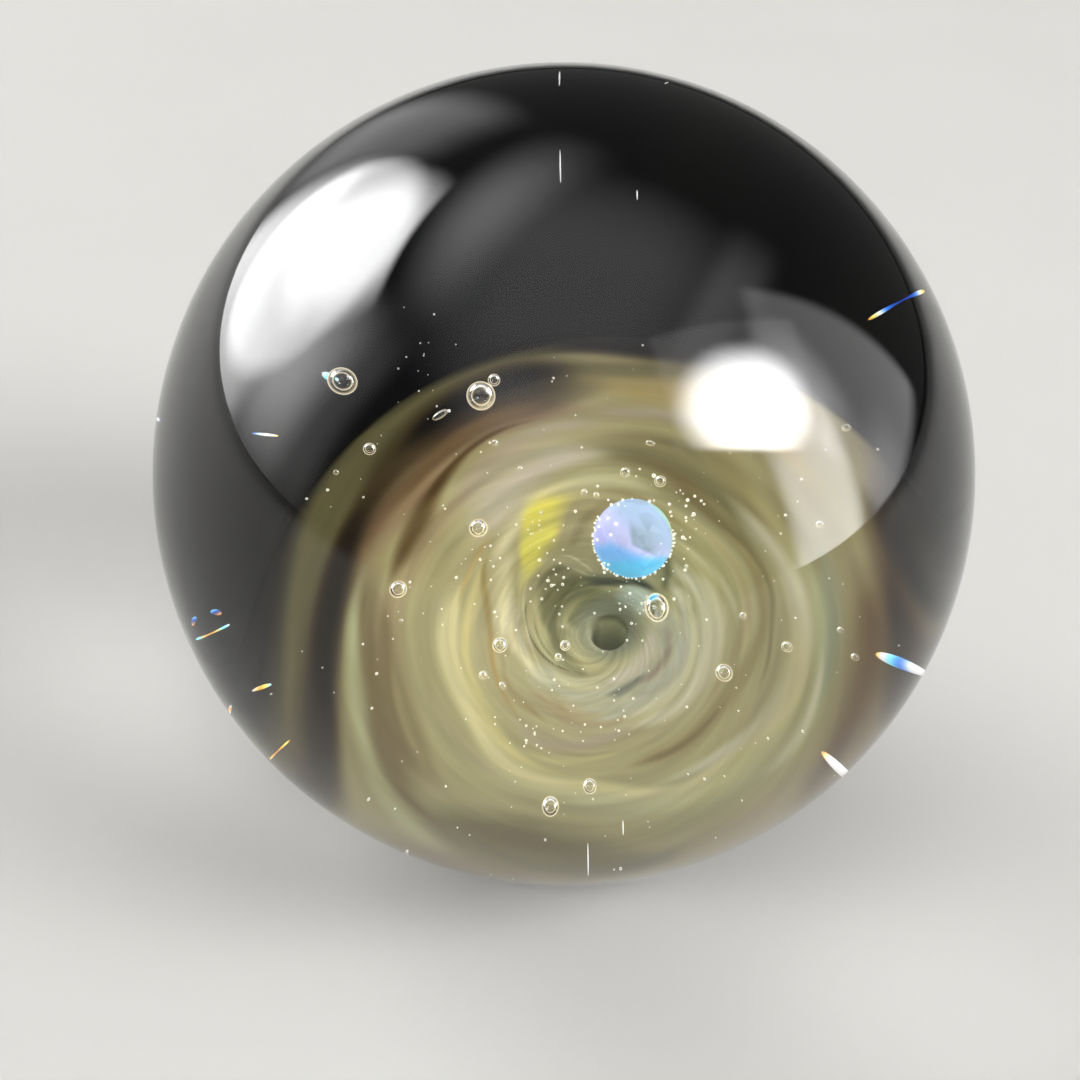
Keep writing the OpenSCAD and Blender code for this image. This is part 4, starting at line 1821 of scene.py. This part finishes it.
@dataclass(frozen=True)
class ClearBall:
    """The ball's clear glass, with the bubbles as hollows in it."""

    shape: JointShape
    axis: VortexAxis
    bubbles: Bubbles
    around: int = 320  # Steps around the ball
    levels: int = 160  # Steps from pole to pole

    def build(self) -> Piece:
        """Builds the ball's surface and the bubbles' walls as one piece, each in its glass.

        Returns:
            The finished piece.
        """
        surface = ball_shell(self.shape.ball_r, self.around, self.levels)
        singles = [self.axis.placed(wall) for wall in self.bubbles.single_walls()]
        pinpoints = [self.axis.placed(wall) for wall in self.bubbles.pinpoint_walls()]
        piece = surface.joined(singles + pinpoints).to_object("clear_ball")
        # Pinpoint walls glow over most of their face: a painted glow for the light they reflect
        pinpoint_glow = BubbleFinish("pinpoint_wall", painted_rim_colour=(1.0, 0.96, 0.86), painted_rim_glow=0.85,
                             rim_from=0.05, rim_full=0.5)
        for finish in (ClearGlassFinish(), BubbleFinish("bubble_wall"), pinpoint_glow):
            piece.data.materials.append(finish.material())
        face = np.arange(len(piece.data.polygons))
        after_ball = len(surface.faces)
        after_singles = after_ball + sum(len(wall.faces) for wall in singles)
        finish_of = (face >= after_ball).astype(np.int32) + (face >= after_singles)
        piece.data.polygons.foreach_set("material_index", finish_of)
        return piece

    def dress(self, piece: Piece) -> None:
        """Lets the ball stand for its node.

        Args:
            piece: The ball.
        """
        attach(piece, "root")
        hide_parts("clear_glass")


# ---- the studio


@dataclass(frozen=True)
class Camera:
    """The camera, aimed so that the ball's centre falls on a chosen pixel."""

    ball_r: float  # The ball's radius, in metres
    distance: float = 5.0  # The camera's distance from the ball's centre, in radii
    look_down: float = 32.2  # How far down it looks at the centre, in degrees
    roll: float = 5.3  # How far it is turned about its view, in degrees
    centre_px: Pair = (563.0, 476.5)  # The pixel where the ball's centre is seen
    outline_px: float = 411.5  # The radius of the ball's outline, in pixels
    sensor: float = 36.0  # The sensor's width, in millimetres
    reach: Pair = (0.002, 50.0)  # From where to where it sees things, in metres

    def build(self) -> Piece:
        """Makes the camera.

        The focal length in pixels is the outline's radius over the tangent of the angle
        whose sine is one over the distance. The least turn that puts the ball's centre on
        its pixel is then given to the view.

        Returns:
            The camera, which is also set as the scene's.
        """
        focal_px = self.outline_px / math.tan(math.asin(1.0 / self.distance))
        down = math.radians(self.look_down)
        view = Vector((0.0, math.cos(down), -math.sin(down)))
        right = Matrix.Rotation(math.radians(-self.roll), 3, view) @ Vector((1.0, 0.0, 0.0))
        offset = Vector([(px - IMAGE_PX / 2) / focal_px for px in self.centre_px] + [1.0])
        aim = Vector((0.0, 0.0, 1.0)).rotation_difference(offset.normalized()).to_matrix()
        axes = aim @ Matrix((right, view.cross(right), view))
        data = bpy.data.cameras.new("camera")
        data.sensor_fit = "HORIZONTAL"
        data.sensor_width = self.sensor
        data.lens = focal_px * self.sensor / IMAGE_PX
        data.clip_start, data.clip_end = self.reach
        camera = bpy.data.objects.new("camera", data)
        turn = Matrix((axes[0], -axes[1], -axes[2])).transposed().to_4x4()
        camera.matrix_world = Matrix.Translation(view * -self.distance * self.ball_r) @ turn
        bpy.context.scene.collection.objects.link(camera)
        bpy.context.scene.camera = camera
        return camera


@dataclass(frozen=True)
class Lamp:
    """A soft box that faces the ball, with soft edges and, if wanted, a bright middle."""

    name: str
    side: float  # Degrees round from the front, to the right
    height: float  # Degrees above the horizon
    wide: float  # How wide it looks from the ball, in degrees
    tall: float  # How tall it looks from the ball, in degrees
    brightness: float  # How bright it looks away from its bright middle, where 1 is white
    edge: float = 0.06  # The share of its width and height over which its edges fade
    glow: float = 0.0  # How bright its bright middle is, on top of the rest
    glow_at: Pair = (0.5, 0.5)  # Where the middle lies, as shares of its width and height
    glow_size: Pair = (0.4, 0.4)  # How far the middle reaches, as shares of its width and height
    glow_full: float = 0.35  # The share of that reach over which it is at its brightest
    lean: float = 0.0  # How far its top leans to the right, in degrees
    card: bool = False  # Whether it only shows in polished surfaces and lights nothing
    away: float = 0.8  # A lamp's distance from the ball, in metres
    card_away: float = 0.72  # A card's, a little less so that it lies in no lamp's plane

    def build(self) -> Piece:
        """Makes the lamp.

        A side of the box is twice the distance times the tangent of half its angle. A lamp
        of the power pi times its area looks as bright as 1, so that power is given to it and
        its nodes hold the brightness.

        Returns:
            The lamp.
        """
        place = round_axis(1.0, math.radians(self.side - 90), math.tan(math.radians(self.height)))
        towards = Vector(place).normalized()
        away = self.card_away if self.card else self.away
        width = 2 * away * math.tan(math.radians(self.wide / 2))
        length = 2 * away * math.tan(math.radians(self.tall / 2))
        data = bpy.data.lights.new(self.name, "AREA")
        data.shape = "RECTANGLE"
        data.size, data.size_y = width, length
        data.energy = width * length * math.pi
        self.shade(data)
        lamp = bpy.data.objects.new(self.name, data)
        lamp.location = towards * away
        leaning = Quaternion((0.0, 0.0, 1.0), -math.radians(self.lean))
        lamp.rotation_euler = (towards.to_track_quat("Z", "Y") @ leaning).to_euler()
        lamp.visible_camera = False
        lamp.visible_diffuse = not self.card
        lamp.visible_transmission = not self.card
        bpy.context.scene.collection.objects.link(lamp)
        return lamp

    def shade(self, data: bpy.types.Light) -> None:
        """Shapes the lamp's brightness over its face.

        The brightness is (base + glow times a soft oval) times four soft edges.

        Args:
            data: The lamp's data.
        """
        data.use_nodes = True
        desk = NodeDesk(data.node_tree)
        face = desk.add("NewGeometry").outputs["Parametric"]
        ways = desk.add("SeparateXYZ", {0: face}).outputs[:2]
        mask, square = 1.0, 0.0
        for way, middle, reach in zip(ways, self.glow_at, self.glow_size):
            rise = desk.slide(way, (0.0, 0.0), (self.edge, 1.0), soft=True)
            fall = desk.slide(way, (1.0 - self.edge, 1.0), (1.0, 0.0), soft=True)
            mask = desk.maths("MULTIPLY", mask, desk.maths("MULTIPLY", rise, fall))
            share = desk.maths("DIVIDE", desk.maths("SUBTRACT", way, middle), reach)
            square = desk.maths("ADD", square, desk.maths("MULTIPLY", share, share))
        out = desk.maths("SQRT", square)
        oval = desk.slide(out, (self.glow_full, 1.0), (1.0, 0.0), soft=True)
        bright = desk.maths("ADD", desk.maths("MULTIPLY", oval, self.glow), self.brightness)
        bright = desk.maths("MULTIPLY", bright, mask)
        data.node_tree.links.new(bright, data.node_tree.nodes["Emission"].inputs["Strength"])


@dataclass(frozen=True)
class Studio:
    """The plain pale floor, the soft lamps and the dim room round them."""

    floor_z: float  # The floor's height, in metres
    floor_r: float = 3.0  # The floor's radius, in metres
    floor_depth: float = 0.01  # The floor's thickness, in metres
    room: float = 0.1  # How bright the room is, where 1 is white
    room_tint: Triple = (1.0, 0.99, 0.97)  # The room's colour, as light values

    def lamps(self) -> list[Lamp]:
        """The lamps: two windows, each with a bright part, the ceiling and the room."""
        return [
            Lamp("window_left", -118.5, 24.5, 52, 52, 0.0, glow=6.5,
                 glow_size=(0.49, 0.49), glow_full=0.75, lean=12),
            Lamp("window_left_low", -122, 8, 50, 40, 3.4, edge=0.2),
            Lamp("window_right", 66.8, 43.3, 44, 32.4, 0.5, edge=0.07, glow=16.0,
                 glow_at=(0.52, 0.33), glow_size=(0.50, 0.52), lean=31),
            Lamp("window_right_low", 74.5, 13, 27, 40, 3.6, edge=0.17),
            Lamp("room_right", 96, 24, 34, 58, 1.9, edge=0.12, lean=-22),
            Lamp("ceiling", -12, 82, 84, 84, 1.1, edge=0.4),
            Lamp("room_front", -12, 46, 60, 30, 1.2, edge=0.45),
        ]

    def cards(self) -> list[Lamp]:
        """The cards that fill the windows' shapes in the ball's polish."""
        return [
            Lamp("card_left", -118.5, 24.5, 52, 52, 0.0, glow=14.0,
                 glow_at=(0.5, 0.76), glow_size=(0.44, 0.44), glow_full=0.3, lean=12,
                 card=True),
            Lamp("card_left_skirt", -93, 19, 37, 56, 6.0, edge=0.5, card=True),
            Lamp("card_left_low", -123, 13, 48, 44, 2.4, edge=0.3, card=True),
            Lamp("card_right", 66.8, 43.3, 44, 32.4, 0.3, edge=0.07, glow=23.0,
                 glow_at=(0.52, 0.33), glow_size=(0.50, 0.52), lean=31, card=True),
            Lamp("card_right_side", 85, 30, 24, 46, 4.8, edge=0.5, card=True),
            Lamp("card_right_low", 74.5, 9, 26, 42, 5.5, edge=0.25, card=True),
            Lamp("card_skirt", 92, 4, 32, 28, 2.2, edge=0.5, card=True),
            Lamp("card_right_top", 78, 57, 70, 18, 1.0, edge=0.4, card=True),
            Lamp("card_far_left", -154, 18, 28, 52, 0.9, edge=0.35, card=True),
            Lamp("card_front_left", -78, 20, 28, 64, 0.9, edge=0.35, card=True),
            Lamp("card_ceiling", -126, 63, 70, 28, 2.0, edge=0.5, card=True),
        ]

    def floor(self) -> Piece:
        """Makes the floor, a flat disc.

        The lamps stand near the floor, so its finish has a painted shade that grows darker towards
        them, or it would clip.

        Returns:
            The floor.
        """
        radius, top = self.floor_r / MM, self.floor_z / MM
        bottom = top - self.floor_depth / MM
        radii = np.array([0.0, radius, radius, 0.0])
        shell = turned_shell(radii, np.array([bottom, bottom, top, top]), around=96)
        piece = shell.to_object("floor")
        piece.data.polygons.foreach_set("use_smooth", np.zeros(len(shell.faces), dtype=bool))
        piece.data.materials.append(FloorFinish().material())
        return piece

    def build(self) -> None:
        """Sets up the floor, the lamps, the room's light and the view transform."""
        self.floor()
        for lamp in self.lamps() + self.cards():
            lamp.build()
        world = bpy.data.worlds.new("room")
        world.use_nodes = True
        background = world.node_tree.nodes["Background"]
        background.inputs["Color"].default_value = (*self.room_tint, 1.0)
        background.inputs["Strength"].default_value = self.room
        bpy.context.scene.world = world
        bpy.context.scene.view_settings.view_transform = "Standard"


# ---- all together


def main() -> None:
    """Builds the studio and every piece of the marble, and reports each one."""
    logging.basicConfig(level=logging.INFO, format="%(name)s: %(message)s")
    low, high = CAD_BOX
    ball_r = round((high[2] - low[2]) / 2 / MM, 2)
    shape = JointShape(ball_r=ball_r)
    axis = VortexAxis()
    Camera(ball_r * MM).build()
    Studio(floor_z=low[2]).build()
    opal = Opal(shape, axis)
    parts = [
        DarkBack(shape, axis),
        Dish(shape, axis),
        opal,
        Slivers(shape, axis),
        ClearBall(shape, axis, Bubbles(shape, opal, single_bubbles())),
    ]
    for part in parts:
        piece = part.build()
        part.dress(piece)
        log.info("%s: %d faces", piece.name, len(piece.data.polygons))


if __name__ == "__main__":
    main()
